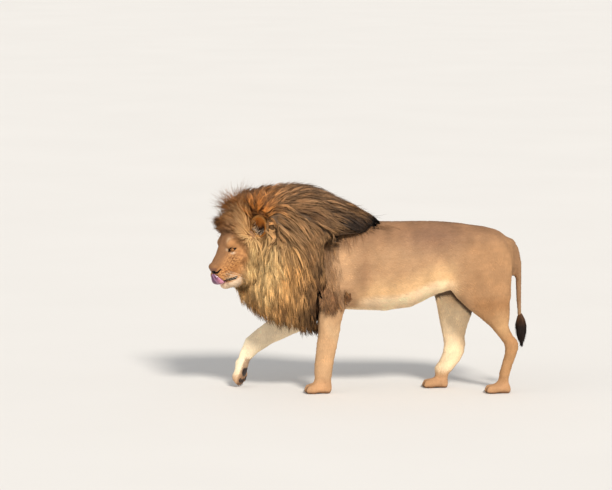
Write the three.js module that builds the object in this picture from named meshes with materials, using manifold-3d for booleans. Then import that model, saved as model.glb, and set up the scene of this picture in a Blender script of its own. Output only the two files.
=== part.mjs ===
// Adult male lion, life size, caught in mid stride with its head lowered and turned
// towards its left side, licking its nose.  Millimetres, +Z up, the nose points to -Y
// and the lion's left side is +X.  A form is lofted through side outlines: each row is
// [ay, az, by, bz, half width, x, turn], where a and b are the two ends of a
// cross-section seen from the side, x its centre line and turn its yaw in degrees.
import * as THREE from 'three';
import { LoftGeometry } from 'three/addons/geometries/LoftGeometry.js';
import { mergeVertices } from 'three/addons/utils/BufferGeometryUtils.js';
import Module from 'manifold-3d';

const wasm = await Module();
wasm.setup();

// ---------------------------------------------------------------- driving sizes
const GAP = 0.4;                     // clearance between neighbouring pieces
const CHEST_HALF = 188;              // half width of the rib cage
const HIP_HALF = 158;                // half width of the hips
const MANE_HALF = 268;               // half width of the mane, to the hair tips
const HEAD_PITCH = 23;               // degrees, nose down
const HEAD_YAW = 36;                 // degrees, nose towards +X
const NOSE_TIP = [205, -968, 790];
const FORE_TRACK = 116;              // centre line to each forefoot
const HIND_TRACK = 110;              // centre line to each hind foot
const EYE_RADIUS = 19;
const EYE_PLACE = [55, 192, 68];     // lateral, behind the nose tip, above it
const EAR_PLACE = [128, 378, 138];
const EAR_SIZE = [64, 30, 84];       // half width, half depth, half height
const EAR_WALL = 9;
const FOREPAW = { length: 178, width: 122, height: 70 };
const HINDPAW = { length: 172, width: 106, height: 64 };
const TAIL_RADIUS = 21;
const ROUND = 10;                    // facets round a limb
const POWER = 2.15;                  // exponent of cross-sections; 2 is an ellipse

// ---------------------------------------------------------------- colours
const COAT = { color: 0xb8946a, roughness: 0.9, metalness: 0 };
const PALE = { color: 0xcfae84, roughness: 0.9, metalness: 0 };
const MANE = { color: 0x8a6a44, roughness: 0.95, metalness: 0 };
const DARK = { color: 0x3a2a20, roughness: 0.95, metalness: 0 };
const NOSE = { color: 0x5a3c34, roughness: 0.55, metalness: 0 };
const TONGUE = { color: 0xb0688a, roughness: 0.4, metalness: 0 };
const EYE = { color: 0x8a5a1c, roughness: 0.1, metalness: 0 };

const radians = THREE.MathUtils.degToRad;
const V = (x, y, z) => new THREE.Vector3(x, y, z);

// ---------------------------------------------------------------- solids
function toSolid(geometry) {
  const bare = new THREE.BufferGeometry();
  bare.setAttribute('position', geometry.getAttribute('position'));
  bare.setIndex(geometry.getIndex());
  const merged = mergeVertices(bare, 1e-3);
  const points = merged.attributes.position.array;
  const corner = (i) => new THREE.Vector3().fromArray(points, 3 * i);
  const triangles = [];
  let volume = 0;
  const index = merged.index.array;
  for (let i = 0; i < index.length; i += 3) {
    const [p, q, r] = [index[i], index[i + 1], index[i + 2]];
    if (p === q || q === r || r === p) continue;
    triangles.push(p, q, r);
    volume += corner(p).dot(corner(q).cross(corner(r)));
  }
  if (volume < 0) triangles.reverse();
  return new wasm.Manifold(new wasm.Mesh({
    numProp: 3,
    vertProperties: new Float32Array(points),
    triVerts: new Uint32Array(triangles),
  }));
}

function join(...parts) {
  return parts.flat().reduce((sum, part) => sum.add(part));
}

function cut(whole, ...tools) {
  return tools.flat().reduce((rest, tool) => rest.subtract(tool), whole);
}

// Everything on the side of a plane its normal points to.
function beyond(point, normal, reach = 3000) {
  const slab = new THREE.BoxGeometry(reach, reach, reach);
  slab.translate(0, 0, reach / 2);
  const turn = new THREE.Quaternion().setFromUnitVectors(V(0, 0, 1), normal.clone().normalize());
  slab.applyQuaternion(turn);
  slab.translate(point.x, point.y, point.z);
  return toSolid(slab);
}

// Splits a solid at a plane; the piece beyond it stops half a gap short.
function split(solid, point, normal) {
  const n = normal.clone().normalize();
  const near = point.clone().addScaledVector(n, -GAP / 2);
  const far = point.clone().addScaledVector(n, GAP / 2);
  return [cut(solid, beyond(near, n)), solid.intersect(beyond(far, n))];
}

function ball(size, centre, place = null, facets = 14) {
  const geometry = new THREE.SphereGeometry(1, facets, Math.ceil(facets * 0.6));
  geometry.scale(size[0], size[1], size[2]);
  geometry.translate(centre[0], centre[1], centre[2]);
  if (place) geometry.applyMatrix4(place);
  return toSolid(geometry);
}

// Point of a rounded cross-section.
function rim(angle, power) {
  const bend = (v) => Math.sign(v) * Math.abs(v) ** (2 / power);
  return [bend(Math.cos(angle)), bend(Math.sin(angle))];
}

function form(rows, options = {}) {
  const { steps = rows.length + 1, round = ROUND, grow = 0, power = POWER } = options;
  const { domeA = 0, domeB = 0, egg = 0, place = null } = options;
  const through = (pick) => new THREE.CatmullRomCurve3(rows.map(pick), false, 'centripetal');
  const curveA = through((r) => V(0, r[0], r[1]));
  const curveB = through((r) => V(0, r[2], r[3]));
  const sizes = through((r) => V(r[4], r[5] ?? 0, r[6] ?? 0));
  const cuts = [];
  for (let i = 0; i <= steps; i += 1) {
    const [a, b, s] = [curveA, curveB, sizes].map((curve) => curve.getPoint(i / steps));
    const middle = a.clone().add(b).multiplyScalar(0.5).setX(s.y);
    const up = a.clone().sub(b).multiplyScalar(0.5);
    up.setLength(up.length() + grow);
    const side = V(Math.cos(radians(s.z)), Math.sin(radians(s.z)), 0);
    side.multiplyScalar(s.x + grow);
    cuts.push({ middle, up, side });
  }
  const onward = cuts[1].middle.clone().sub(cuts[0].middle);
  const winding = cuts[0].side.clone().cross(cuts[0].up).dot(onward) < 0 ? -1 : 1;
  const start = dome(cuts[0], cuts[1], domeA, grow).reverse();
  const end = dome(cuts[steps], cuts[steps - 1], domeB, grow);
  const sections = [...start, ...cuts, ...end].map(({ middle, up, side }) => {
    const section = [];
    for (let j = 0; j < round; j += 1) {
      const [c, s] = rim((winding * 2 * Math.PI * (j + 0.5)) / round, power);
      section.push(middle.clone().addScaledVector(side, c * (1 + egg * s)).addScaledVector(up, s));
    }
    return section;
  });
  const geometry = new LoftGeometry(sections, { capStart: true, capEnd: true });
  if (place) geometry.applyMatrix4(place);
  return toSolid(geometry);
}

// Rings that round off the end of a form, going away from its neighbour section.
function dome(end, neighbour, length, grow) {
  const reach = length + grow;
  if (reach === 0) return [];
  const normal = end.side.clone().cross(end.up).normalize();
  if (normal.dot(end.middle.clone().sub(neighbour.middle)) < 0) normal.negate();
  const angles = length > 6 ? [38, 72] : [60];
  return angles.map(radians).map((angle) => ({
    middle: end.middle.clone().addScaledVector(normal, reach * Math.sin(angle)),
    up: end.up.clone().multiplyScalar(length > 6 ? Math.cos(angle) : 1),
    side: end.side.clone().multiplyScalar(length > 6 ? Math.cos(angle) : 1),
  }));
}

// Tapering round form along a centre line of [y, z, radius, x].
function tube(rows, options = {}) {
  const spine = new THREE.CatmullRomCurve3(rows.map((r) => V(0, r[0], r[1])), false, 'centripetal');
  const pairs = rows.map((r, i) => {
    const along = spine.getTangent(i / (rows.length - 1));
    const out = V(0, -along.z, along.y).multiplyScalar(r[2]);
    return [r[0] + out.y, r[1] + out.z, r[0] - out.y, r[1] - out.z, r[2], r[3] ?? 0];
  });
  return form(pairs, options);
}

// ---------------------------------------------------------------- head frame
// Head sizes are given from the nose tip: lateral, backwards, upwards.
const headPlace = new THREE.Matrix4()
  .makeTranslation(...NOSE_TIP)
  .multiply(new THREE.Matrix4().makeRotationZ(radians(HEAD_YAW)))
  .multiply(new THREE.Matrix4().makeRotationX(radians(HEAD_PITCH)));

const SKULL = [
  [14, 24, 20, -54, 34],
  [32, 37, 30, -90, 55],
  [64, 45, 60, -108, 64],
  [104, 55, 100, -112, 66],
  [142, 70, 138, -112, 71],
  [176, 90, 174, -114, 82],
  [212, 112, 208, -120, 96],
  [255, 132, 246, -128, 112],
  [312, 142, 296, -134, 124],
  [365, 132, 350, -126, 120],
  [412, 100, 400, -98, 96],
];
const JAW = [
  [38, -126, 46, -166, 31],
  [66, -123, 74, -180, 43],
  [112, -116, 118, -177, 53],
  [152, -106, 162, -168, 63],
  [235, -88, 236, -154, 84],
  [300, -78, 292, -136, 88],
];
const NECK = [
  [-720, 1010, -625, 715, 116, 52, 28],
  [-640, 1040, -520, 640, 126, 32, 16],
  [-530, 1065, -420, 590, 138, 12, 6],
  [-400, 1078, -320, 555, 150, 0, 0],
  [-290, 1085, -240, 530, 162, 0, 0],
];
const TRUNK = [
  [-315, 1040, -300, 560, 128],
  [-215, 1082, -210, 522, 160],
  [-60, 1098, -60, 512, CHEST_HALF - 4],
  [110, 1097, 100, 500, CHEST_HALF],
  [270, 1097, 250, 498, CHEST_HALF - 2],
  [400, 1096, 385, 556, 176],
  [520, 1092, 500, 632, 162],
  [660, 1080, 650, 652, HIP_HALF],
  [790, 1052, 780, 650, HIP_HALF - 4],
  [880, 1006, 870, 668, 134],
  [935, 950, 925, 700, 100],
];
const CREST = [
  [-935, 1040, -700, 585, 196, 92, 32],
  [-908, 1145, -652, 530, 236, 78, 28],
  [-808, 1255, -590, 462, 260, 54, 20],
  [-665, 1312, -510, 402, MANE_HALF, 28, 10],
  [-505, 1330, -425, 368, MANE_HALF - 4, 10, 4],
  [-345, 1325, -325, 385, 252, 0, 0],
  [-205, 1268, -235, 470, 232, 0, 0],
  [-75, 1208, -195, 640, 206, 0, 0],
  [35, 1150, -120, 850, 168, 0, 0],
  [100, 1092, 10, 985, 96, 0, 0],
];
// Front edge of the mane in the head's side view, from the forelock to the beard.
const MANE_FRONT = [
  [140, 246], [192, 178], [240, 136], [262, 78], [214, 0], [170, -96], [150, -200], [168, -345],
];

// Everything in front of the mane's front edge, across the whole head.
function faceHollow() {
  const edge = new THREE.SplineCurve(MANE_FRONT.map(([back, up]) => new THREE.Vector2(back, up)));
  const [top, bottom] = [MANE_FRONT[0], MANE_FRONT[MANE_FRONT.length - 1]];
  const side = new THREE.Shape([
    ...edge.getPoints(10),
    new THREE.Vector2(bottom[0], -700),
    new THREE.Vector2(-400, -700),
    new THREE.Vector2(-400, top[1] + 120),
    new THREE.Vector2(top[0] - 60, top[1] + 120),
  ]);
  const block = new THREE.ExtrudeGeometry(side, { depth: 900, bevelEnabled: false });
  block.translate(0, 0, -450);
  const across = new THREE.Matrix4().makeBasis(V(0, 1, 0), V(0, 0, 1), V(1, 0, 0));
  block.applyMatrix4(headPlace.clone().multiply(across));
  const indexed = mergeVertices(new THREE.BufferGeometry()
    .setAttribute('position', block.getAttribute('position')), 1e-3);
  return toSolid(indexed);
}

// ---------------------------------------------------------------- legs
const FORELEG_PLANTED = [
  [-215, 1000, -25, 985, 36, 92],
  [-268, 885, -22, 862, 52, 112],
  [-308, 765, -38, 722, 62, 126],
  [-312, 660, -72, 602, 60, 132],
  [-298, 560, -104, 528, 55, 130],
  [-286, 455, -130, 440, 50, 126],
  [-287, 365, -140, 362, 47, 122],
  [-307, 220, -171, 220, 44, 118],
  [-306, 120, -189, 120, 47, FORE_TRACK],
  [-312, 58, -190, 55, 50, FORE_TRACK],
];
const FORELEG_RAISED = [
  [-215, 1000, -40, 985, 36, -92],
  [-300, 885, -50, 850, 52, -112],
  [-370, 780, -90, 700, 62, -126],
  [-430, 690, -170, 560, 60, -132],
  [-490, 590, -260, 440, 57, -132],
  [-560, 490, -400, 350, 53, -130],
  [-640, 405, -520, 300, 49, -126],
  [-730, 340, -612, 255, 46, -122],
  [-796, 262, -655, 212, 46, -118],
  [-812, 215, -682, 178, 48, -118],
];
const HINDLEG_TRAILING = [
  [600, 1010, 900, 985, 44, 92],
  [545, 880, 962, 860, 62, 108],
  [520, 770, 962, 770, 70, 116],
  [560, 640, 956, 655, 68, 120],
  [640, 560, 950, 560, 62, 120],
  [725, 495, 945, 490, 54, 118],
  [810, 425, 936, 432, 45, 116],
  [868, 355, 962, 372, 38, 114],
  [905, 300, 1004, 322, 36, 112],
  [900, 245, 992, 262, 34, 112],
  [882, 170, 962, 186, 36, 111],
  [862, 95, 940, 112, 40, HIND_TRACK],
  [840, 50, 925, 40, 46, HIND_TRACK],
];
const HINDLEG_PLANTED = [
  [520, 1000, 830, 985, 44, -92],
  [470, 860, 860, 850, 62, -108],
  [440, 740, 850, 740, 70, -116],
  [445, 640, 800, 630, 68, -120],
  [470, 540, 730, 510, 60, -120],
  [498, 420, 688, 400, 50, -118],
  [516, 330, 670, 322, 42, -116],
  [526, 262, 674, 262, 38, -114],
  [510, 200, 655, 196, 37, -112],
  [478, 145, 602, 132, 38, -111],
  [448, 100, 560, 70, 42, -HIND_TRACK],
];

// A paw along +Y from its toes, sole at z = 0, then placed.
function paw({ length, width, height }, place, grow = 0) {
  const half = width / 2;
  const foot = form([
    [length, height * 0.95, length, 0, half * 0.74],
    [length * 0.8, height * 1.12, length * 0.8, -4, half * 0.86],
    [length * 0.52, height * 1.0, length * 0.52, -4, half * 0.95],
    [length * 0.28, height * 0.72, length * 0.28, 0, half * 0.84],
  ], { round: 8, power: 2.6, domeA: 14, domeB: 16, place, grow, steps: 3 });
  const toes = [-1.5, -0.5, 0.5, 1.5].map((k) => {
    const forward = Math.abs(k) < 1 ? 0.215 : 0.29;
    return ball(
      [half * 0.29 + grow, length * 0.215 + grow, height * 0.44 + grow],
      [k * half * 0.49, length * forward, height * 0.40],
      place,
      6,
    );
  });
  return join(foot, toes);
}

function standing(toeY, x, turn = 0) {
  return new THREE.Matrix4().makeTranslation(x, toeY, 0)
    .multiply(new THREE.Matrix4().makeRotationZ(radians(turn)));
}

// ---------------------------------------------------------------- flesh
// The raised forepaw hangs from the wrist on its toe tips, sole turned back and inwards.
const dropped = new THREE.Matrix4()
  .makeTranslation(-FORE_TRACK - 2, -748, -9)
  .multiply(new THREE.Matrix4().makeRotationZ(radians(-24)))
  .multiply(new THREE.Matrix4().makeTranslation(0, -26, 0))
  .multiply(new THREE.Matrix4().makeRotationX(radians(74)));

const LEGS = {
  foreleg_left: {
    rows: FORELEG_PLANTED, paw: FOREPAW, place: standing(-366, FORE_TRACK, 2),
    knee: [-200, 520], kneeTilt: 6, ankle: [-248, 92], ankleTilt: -8,
  },
  foreleg_right: {
    rows: FORELEG_RAISED, paw: { ...FOREPAW, length: 205 }, place: dropped,
    knee: [-400, 470], kneeTilt: -48, ankle: [-742, 200], ankleTilt: -18,
  },
  hindleg_left: {
    rows: HINDLEG_TRAILING, paw: HINDPAW, place: standing(782, HIND_TRACK, 2),
    knee: [800, 500], kneeTilt: 34, ankle: [895, 100], ankleTilt: -14,
  },
  hindleg_right: {
    rows: HINDLEG_PLANTED, paw: HINDPAW, place: standing(392, -HIND_TRACK, -2),
    knee: [600, 500], kneeTilt: 2, ankle: [528, 112], ankleTilt: -38,
  },
};

function legSolid({ rows, paw: size, place }, grow = 0) {
  return join(form(rows, { grow, domeA: 30, domeB: 12, steps: rows.length + 1 }),
    paw(size, place, grow));
}

function cranium(grow = 0) {
  const place = headPlace;
  const parts = [
    form(SKULL, { grow, place, round: 14, domeA: 8, domeB: 30, egg: -0.1, power: 2.45, steps: 9 })];
  for (const s of [-1, 1]) {
    parts.push(ball([32 + grow, 42 + grow, 36 + grow], [s * 36, 46, -64], place, 7));  // lip pad
    parts.push(ball([25 + grow, 34 + grow, 15 + grow], [s * 49, 190, 88], place, 6));  // brow
    parts.push(ball([36 + grow, 66 + grow, 44 + grow], [s * 86, 246, -6], place, 7));  // cheek
  }
  return join(parts);
}

const jawForm = (grow = 0) => form(JAW, {
  grow, place: headPlace, round: 10, domeA: 14, domeB: 20, steps: 5,
});
const neckForm = (grow = 0) => form(NECK, { grow, round: 10, steps: 3 });
const trunkForm = (grow = 0) => form(TRUNK, {
  grow, round: 16, domeA: 20, domeB: 42, steps: 9, power: 2.2,
});
const crestForm = (grow = 0) => form(CREST, {
  grow, round: 20, domeA: 20, domeB: 30, egg: 0.12, power: 2.1, steps: 11,
});

function earForm(side, grow = 0) {
  const place = headPlace.clone()
    .multiply(new THREE.Matrix4().makeTranslation(side * EAR_PLACE[0], EAR_PLACE[1], EAR_PLACE[2]))
    .multiply(new THREE.Matrix4().makeRotationZ(radians(side * 30)))
    .multiply(new THREE.Matrix4().makeRotationX(radians(-12)))
    .multiply(new THREE.Matrix4().makeRotationY(radians(side * 24)));
  const [w, d, h] = EAR_SIZE;
  const shell = ball([w + grow, d + grow, h + grow], [0, 0, 0], place, 11);
  if (grow > 0) return shell;
  const bowl = ball([w - EAR_WALL, d, h - EAR_WALL], [0, -EAR_WALL - 8, 6], place, 10);
  return cut(shell, bowl);
}

const eyeForm = (side, grow = 0) => ball(
  Array(3).fill(EYE_RADIUS + grow), [side * EYE_PLACE[0], EYE_PLACE[1], EYE_PLACE[2]], headPlace, 10);

const noseForm = (grow = 0) => form([
  [4, 18, 6, -16, 24],
  [11, 29, 14, -24, 32],
  [26, 38, 28, -10, 34],
  [42, 43, 42, 18, 26],
], { grow, place: headPlace, round: 8, domeA: 5, domeB: 4, steps: 3, egg: 0.15 });

const tongueForm = (grow = 0) => form([
  [72, -108, 68, -123, 26, 0],
  [36, -106, 30, -124, 28, 2],
  [14, -92, 2, -112, 28, 5],
  [6, -64, -10, -72, 27, 8],
  [-3, -36, -17, -42, 23, 11],
  [-5, -14, -16, -17, 13, 13],
], { grow, place: headPlace, round: 8, domeA: 6, domeB: 5, steps: 7 });

const tailForm = (grow = 0) => tube([
  [900, 948, 44], [955, 930, 37], [990, 850, TAIL_RADIUS + 7], [998, 730, TAIL_RADIUS + 3],
  [1001, 600, TAIL_RADIUS], [1006, 500, TAIL_RADIUS - 3], [1010, 435, TAIL_RADIUS - 4],
], { grow, round: 8, domeB: 8, steps: 8 });
const tuftForm = (grow = 0) => tube([
  [1007, 470, 21], [1012, 425, 31], [1018, 375, 34], [1020, 330, 27], [1022, 292, 9],
], { grow, round: 8, domeA: 8, domeB: 4, steps: 5 });

// ---------------------------------------------------------------- parting into nodes
const ground = beyond(V(0, 0, 0), V(0, 0, 1), 6000);
const pieces = new Map();
const largest = (solid) => solid.decompose()
  .reduce((best, part) => (part.volume() > best.volume() ? part : best));

function keep(name, solid, look) {
  pieces.set(name, { solid: largest(solid), look });
}

const eyes = [1, -1].map((s) => eyeForm(s, GAP));
const ears = [1, -1].map((s) => earForm(s, GAP));
const trunkGrown = trunkForm(GAP);
const neckGrown = neckForm(GAP);
const craniumGrown = cranium(GAP);
const jawGrown = jawForm(GAP);
const legsGrown = Object.values(LEGS).map((leg) => legSolid(leg, GAP));

keep('trunk', trunkForm(), COAT);
keep('neck', cut(neckForm(), trunkGrown, craniumGrown, jawGrown), COAT);
keep('head', cut(cranium(), trunkGrown, eyes, noseForm(GAP), jawGrown, tongueForm(GAP)), COAT);
keep('jaw', cut(jawForm(), tongueForm(GAP)), PALE);
keep('nose', noseForm(), NOSE);
keep('tongue', cut(tongueForm(), noseForm(GAP)), TONGUE);
for (const [side, s] of [['left', 1], ['right', -1]]) {
  keep(`eye_${side}`, eyeForm(s), EYE);
  keep(`ear_${side}`, cut(earForm(s), craniumGrown, neckGrown), COAT);
}
keep('tail', cut(tailForm(), trunkGrown, tuftForm(GAP)), COAT);
keep('tail_tuft', tuftForm(), DARK);
for (const [name, leg] of Object.entries(LEGS)) {
  const whole = cut(legSolid(leg), trunkGrown, neckGrown).intersect(ground);
  const level = (tilt) => V(0, Math.sin(radians(tilt)), -Math.cos(radians(tilt)));
  const [top, rest] = split(largest(whole), V(0, ...leg.knee), level(leg.kneeTilt));
  const [shank, foot] = split(rest, V(0, ...leg.ankle), level(leg.ankleTilt));
  keep(`${name}_upper`, top, COAT);
  keep(`${name}_lower`, shank, PALE);
  keep(`${name}_paw`, foot, PALE);
}
const earHollows = [1, -1].map((s) => ball([122, 106, 108], [s * 200, 334, 134], headPlace, 10));
keep('mane', cut(
  crestForm(), faceHollow(), earHollows, trunkGrown, neckGrown, craniumGrown, jawGrown, legsGrown, ears, eyes), MANE);

// ---------------------------------------------------------------- the object
const group = new THREE.Group();
group.name = 'lion';
for (const [name, { solid, look }] of pieces) {
  const mesh = solid.getMesh();
  const geometry = new THREE.BufferGeometry();
  const positions = new Float32Array(mesh.numVert * 3);
  for (let i = 0; i < mesh.numVert; i += 1) {
    for (let k = 0; k < 3; k += 1) positions[3 * i + k] = mesh.vertProperties[i * mesh.numProp + k];
  }
  geometry.setAttribute('position', new THREE.BufferAttribute(positions, 3));
  geometry.setIndex(new THREE.BufferAttribute(new Uint32Array(mesh.triVerts), 1));
  const piece = new THREE.Mesh(geometry, new THREE.MeshStandardMaterial(look));
  piece.name = name;
  group.add(piece);
}

// Origin at the middle of the footprint, on the floor.
const box = new THREE.Box3().setFromObject(group);
const centre = box.getCenter(V(0, 0, 0));
group.children.forEach((piece) => piece.geometry.translate(-centre.x, -centre.y, -box.min.z));

export default group;
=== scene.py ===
"""Walking lion: one skin, a coat of solid tufts and locks, and the small hard and wet parts, over the fixed frame."""

import math

import bmesh
import bpy
import numpy as np
from bpy.props import FloatProperty, FloatVectorProperty, IntProperty, PointerProperty
from mathutils import Matrix, Vector
from mathutils.bvhtree import BVHTree
from mathutils.kdtree import KDTree


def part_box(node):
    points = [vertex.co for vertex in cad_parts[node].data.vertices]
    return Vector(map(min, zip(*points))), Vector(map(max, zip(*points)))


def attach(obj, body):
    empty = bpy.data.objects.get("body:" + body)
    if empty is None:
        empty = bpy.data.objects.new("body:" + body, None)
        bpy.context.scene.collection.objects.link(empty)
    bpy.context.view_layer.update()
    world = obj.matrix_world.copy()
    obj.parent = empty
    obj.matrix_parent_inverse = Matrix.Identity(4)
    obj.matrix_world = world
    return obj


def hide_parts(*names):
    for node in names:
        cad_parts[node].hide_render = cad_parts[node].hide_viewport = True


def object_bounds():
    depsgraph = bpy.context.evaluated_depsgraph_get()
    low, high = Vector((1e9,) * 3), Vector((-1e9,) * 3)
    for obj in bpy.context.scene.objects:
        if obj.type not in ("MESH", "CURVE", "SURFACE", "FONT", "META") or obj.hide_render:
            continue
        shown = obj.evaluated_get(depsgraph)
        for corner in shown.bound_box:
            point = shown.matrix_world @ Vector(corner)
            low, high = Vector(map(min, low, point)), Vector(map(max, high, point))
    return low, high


bl_info = {
    "name": "Walking lion",
    "version": (1, 0, 0),
    "blender": (4, 5, 0),
    "location": "3D View > Sidebar > Lion",
    "description": "Skin, coat, mane and small parts of a walking lion",
    "category": "Object",
}

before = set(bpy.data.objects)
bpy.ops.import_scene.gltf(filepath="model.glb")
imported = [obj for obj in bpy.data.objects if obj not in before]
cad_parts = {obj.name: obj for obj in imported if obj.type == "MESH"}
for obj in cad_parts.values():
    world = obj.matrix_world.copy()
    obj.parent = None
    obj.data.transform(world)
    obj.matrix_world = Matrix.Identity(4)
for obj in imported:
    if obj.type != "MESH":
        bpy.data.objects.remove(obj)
CAD_BOX = [list(corner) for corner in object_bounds()]
MM = 0.001

# ---------------------------------------------------------------- places, in metres and degrees
HEAD = (
    Matrix.Translation((0.1830, -1.0005, 0.7900))
    @ Matrix.Rotation(math.radians(36), 4, "Z")
    @ Matrix.Rotation(math.radians(23), 4, "X")
)
PAWS = {
    "foreleg_left": (
        Matrix.Translation((0.0940, -0.3985, 0)) @ Matrix.Rotation(math.radians(2), 4, "Z"),
        (0.178, 0.122, 0.070),
    ),
    "foreleg_right": (
        Matrix.Translation((-0.1400, -0.7805, 0.006))
        @ Matrix.Rotation(math.radians(-24), 4, "Z")
        @ Matrix.Translation((0, -0.026, 0))
        @ Matrix.Rotation(math.radians(74), 4, "X"),
        (0.205, 0.122, 0.070),
    ),
    "hindleg_left": (
        Matrix.Translation((0.0880, 0.7495, 0)) @ Matrix.Rotation(math.radians(2), 4, "Z"),
        (0.172, 0.106, 0.064),
    ),
    "hindleg_right": (
        Matrix.Translation((-0.1320, 0.3595, 0)) @ Matrix.Rotation(math.radians(-2), 4, "Z"),
        (0.172, 0.106, 0.064),
    ),
}
HEAD_MM = HEAD @ Matrix.Scale(MM, 4)
LEG_NODES = [f"{leg}_{part}" for leg in PAWS for part in ("upper", "lower", "paw")]

# Forms of the head in millimetres from the nose tip: out from the middle, back, up; half sizes; turn; softness of join.
HEAD_FORMS = {
    "cranium": ((0, 336, 44), (116, 112, 126), (0, 0, 0), 10),
    "forehead": ((0, 250, 82), (98, 96, 106), (0, 0, 0), 34),
    "middle of the face": ((0, 164, -8), (72, 96, 88), (0, 0, 0), 30),
    "bridge": ((6, 106, 34), (31, 100, 38), (29, 0, 0), 14),
    "stop": ((0, 160, 84), (38, 56, 36), (38, 0, 0), 24),
    "nose": ((0, 40, 16), (30, 27, 26), (0, 0, 0), 9),
    "muzzle": ((0, 88, -42), (54, 62, 50), (0, 0, 0), 16),
    "whisker pad": ((34, 70, -54), (33, 46, 36), (0, 0, 8), 10),
    "cheekbone": ((70, 232, 6), (44, 74, 54), (0, 0, 0), 32),
    "jowl": ((62, 240, -76), (50, 84, 62), (0, 0, 0), 30),
    "brow": ((44, 194, 110), (34, 34, 25), (0, 0, -15), 24),
    "chin": ((0, 90, -130), (41, 42, 31), (0, 0, 0), 10),
    "jaw": ((36, 164, -120), (42, 96, 42), (0, 0, 12), 22),
}
# Outlines, back and up: the face's room in the mane (millimetres from the nose), the bare shoulder's (metres).
FACE_ROOM = [
    (-250, -205), (120, -205), (190, -180), (240, -99), (292, 8), (326, 70), (338, 120), (345, 170), (345, 260),
    (380, 430), (-250, 430),
]
SHOULDER_ROOM = [
    (-0.260, 0.36), (-0.235, 0.48), (-0.195, 0.55), (-0.205, 0.66), (-0.265, 0.735), (-0.275, 0.86), (-0.285, 0.96),
    (-0.24, 1.00), (-0.12, 1.03), (0.30, 1.04), (0.30, 0.36),
]
# Hairline of the face: up and back, in head millimetres.
HAIRLINE = [
    (-230, 60), (-180, 100), (-99, 150), (8, 206), (60, 240), (100, 262), (130, 264), (160, 246), (186, 212),
]
# Rear edge of the mane's roots: up and back, in metres.
MANE_REAR = [
    (0.40, -0.26), (0.48, -0.235), (0.55, -0.195), (0.66, -0.205), (0.735, -0.265), (0.86, -0.275), (0.96, -0.285),
    (1.0, -0.24), (1.03, -0.12), (1.10, 0.15),
]
CHEST_ROOM = [
    (-0.90, 0.20), (-0.90, 0.50), (-0.76, 0.575), (-0.68, 0.545), (-0.60, 0.520), (-0.52, 0.510), (-0.45, 0.480),
    (-0.40, 0.445), (-0.33, 0.445), (-0.20, 0.48), (-0.20, 0.20),
]
LIP_LINE = [(0, 30, -92), (26, 32, -92), (40, 40, -91), (50, 60, -90), (60, 84, -93), (74, 118, -97), (80, 146, -88)]
LIP_EDGE = [(0, 34, -86), (0, 62, -86), (0, 90, -91), (0, 122, -97)]
EYE = np.array((55.0, 188.0, 77.0))
EYE_RADIUS = 19.0
# Soft marks of the face, both sides alike: place and size in head millimetres, screen colour, strength.
FACE_MARKS = [
    ((56, 262, 110), (40, 44, 40), (196, 146, 98), 0.8),
    ((62, 156, 26), (30, 36, 22), (120, 80, 48), 0.65),
    ((74, 170, -40), (36, 50, 36), (190, 124, 66), 0.6),
    ((82, 214, -84), (44, 52, 44), (232, 188, 134), 0.7),
    ((52, 76, -40), (30, 40, 26), (176, 114, 60), 0.75),
    ((46, 76, -84), (32, 42, 13), (236, 200, 156), 0.85),
    ((58, 178, 52), (17, 13, 6), (252, 236, 210), 0.95),
    ((67, 206, 58), (6, 9, 5), (250, 232, 204), 0.8),
    ((40, 156, 84), (8, 9, 10), (232, 204, 168), 0.7),
    ((50, 190, 132), (12, 18, 16), (232, 196, 150), 0.75),
    ((58, 186, 128), (4, 16, 13), (140, 88, 50), 0.75),
    ((42, 226, 160), (24, 9, 9), (84, 54, 34), 0.65),
    ((20, 190, 130), (9, 40, 26), (112, 76, 48), 0.5),
    # painted shadow of the mane's edge along the hairline, in front of the ear
    ((90, 262, 86), (16, 12, 34), (96, 62, 38), 0.5),
]
# Blotches of the face: place, size, waves in head millimetres, seed.
FACE_BLOTCHES = [
    ((48, 80, -42), (44, 52, 36), (17, 15, 9), 7),
    ((64, 160, 4), (40, 52, 44), (19, 17, 13), 8),
    ((76, 220, -10), (40, 50, 70), (26, 22, 26), 9),
]
# Dark lines at the corners of the eye and over it, in the eye's axes: two ends and their widths.
TEAR_LINES = [
    ((-15, -1, 16), (-29, -13, 12), 7.5, 3.4),
    ((15, 1, 14), (29, 2, 5), 6.0, 3.0),
    ((-14, 4, 16), (-1, 10, 18), 6.5, 5.0),
]
EAR_PLACE = (128, 378, 138)
EAR_WIDTH, EAR_HEIGHT = 62, 82
MIDDLE = -0.022  # sideways place of the body's middle plane, in metres
RAISED = "foreleg_right"  # the leg whose paw hangs free
TOES = (-1.5, -0.5, 0.5, 1.5)  # places of the toes across a paw, in toe widths
TOE_WIDTH = 0.235  # as a share of the paw's width
PIECE_FACES = 190000  # most faces of one piece of hair
MAP_FACES = 9000  # faces of the skin's flat map for hair roots

# Soft tones of the body: place and size in metres, screen colour, strength.
BODY_MARKS = [
    # painted shade in the hollow behind the shoulder
    ((0.17, -0.02, 0.76), (0.10, 0.050, 0.17), (150, 112, 82), 0.60),
    ((0.17, -0.17, 0.84), (0.12, 0.075, 0.13), (192, 152, 114), 0.8),
    ((0.15, -0.18, 0.62), (0.12, 0.07, 0.07), (136, 100, 72), 0.70),
    ((0.15, 0.42, 0.98), (0.12, 0.12, 0.07), (150, 112, 82), 0.55),
]

# The tongue's stations: forward, up, half width, half thickness, tilt, sideways. It leaves at the left corner.
TONGUE = [
    (-46, -100, 24, 6.5, 0, 4), (-14, -99, 29, 7.5, 0, 4), (8, -97, 33, 8, 6, 4), (28, -90, 36, 8, 38, 2),
    (39, -74, 36, 8, 70, 0), (44, -56, 31, 7.5, 86, -4), (44, -39, 24, 6.5, 98, -8), (40, -24, 16, 5, 108, -12),
    (36, -13, 8, 3.2, 118, -14),
]
TONGUE_ROUND, TONGUE_AIM = 28, 36
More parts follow.
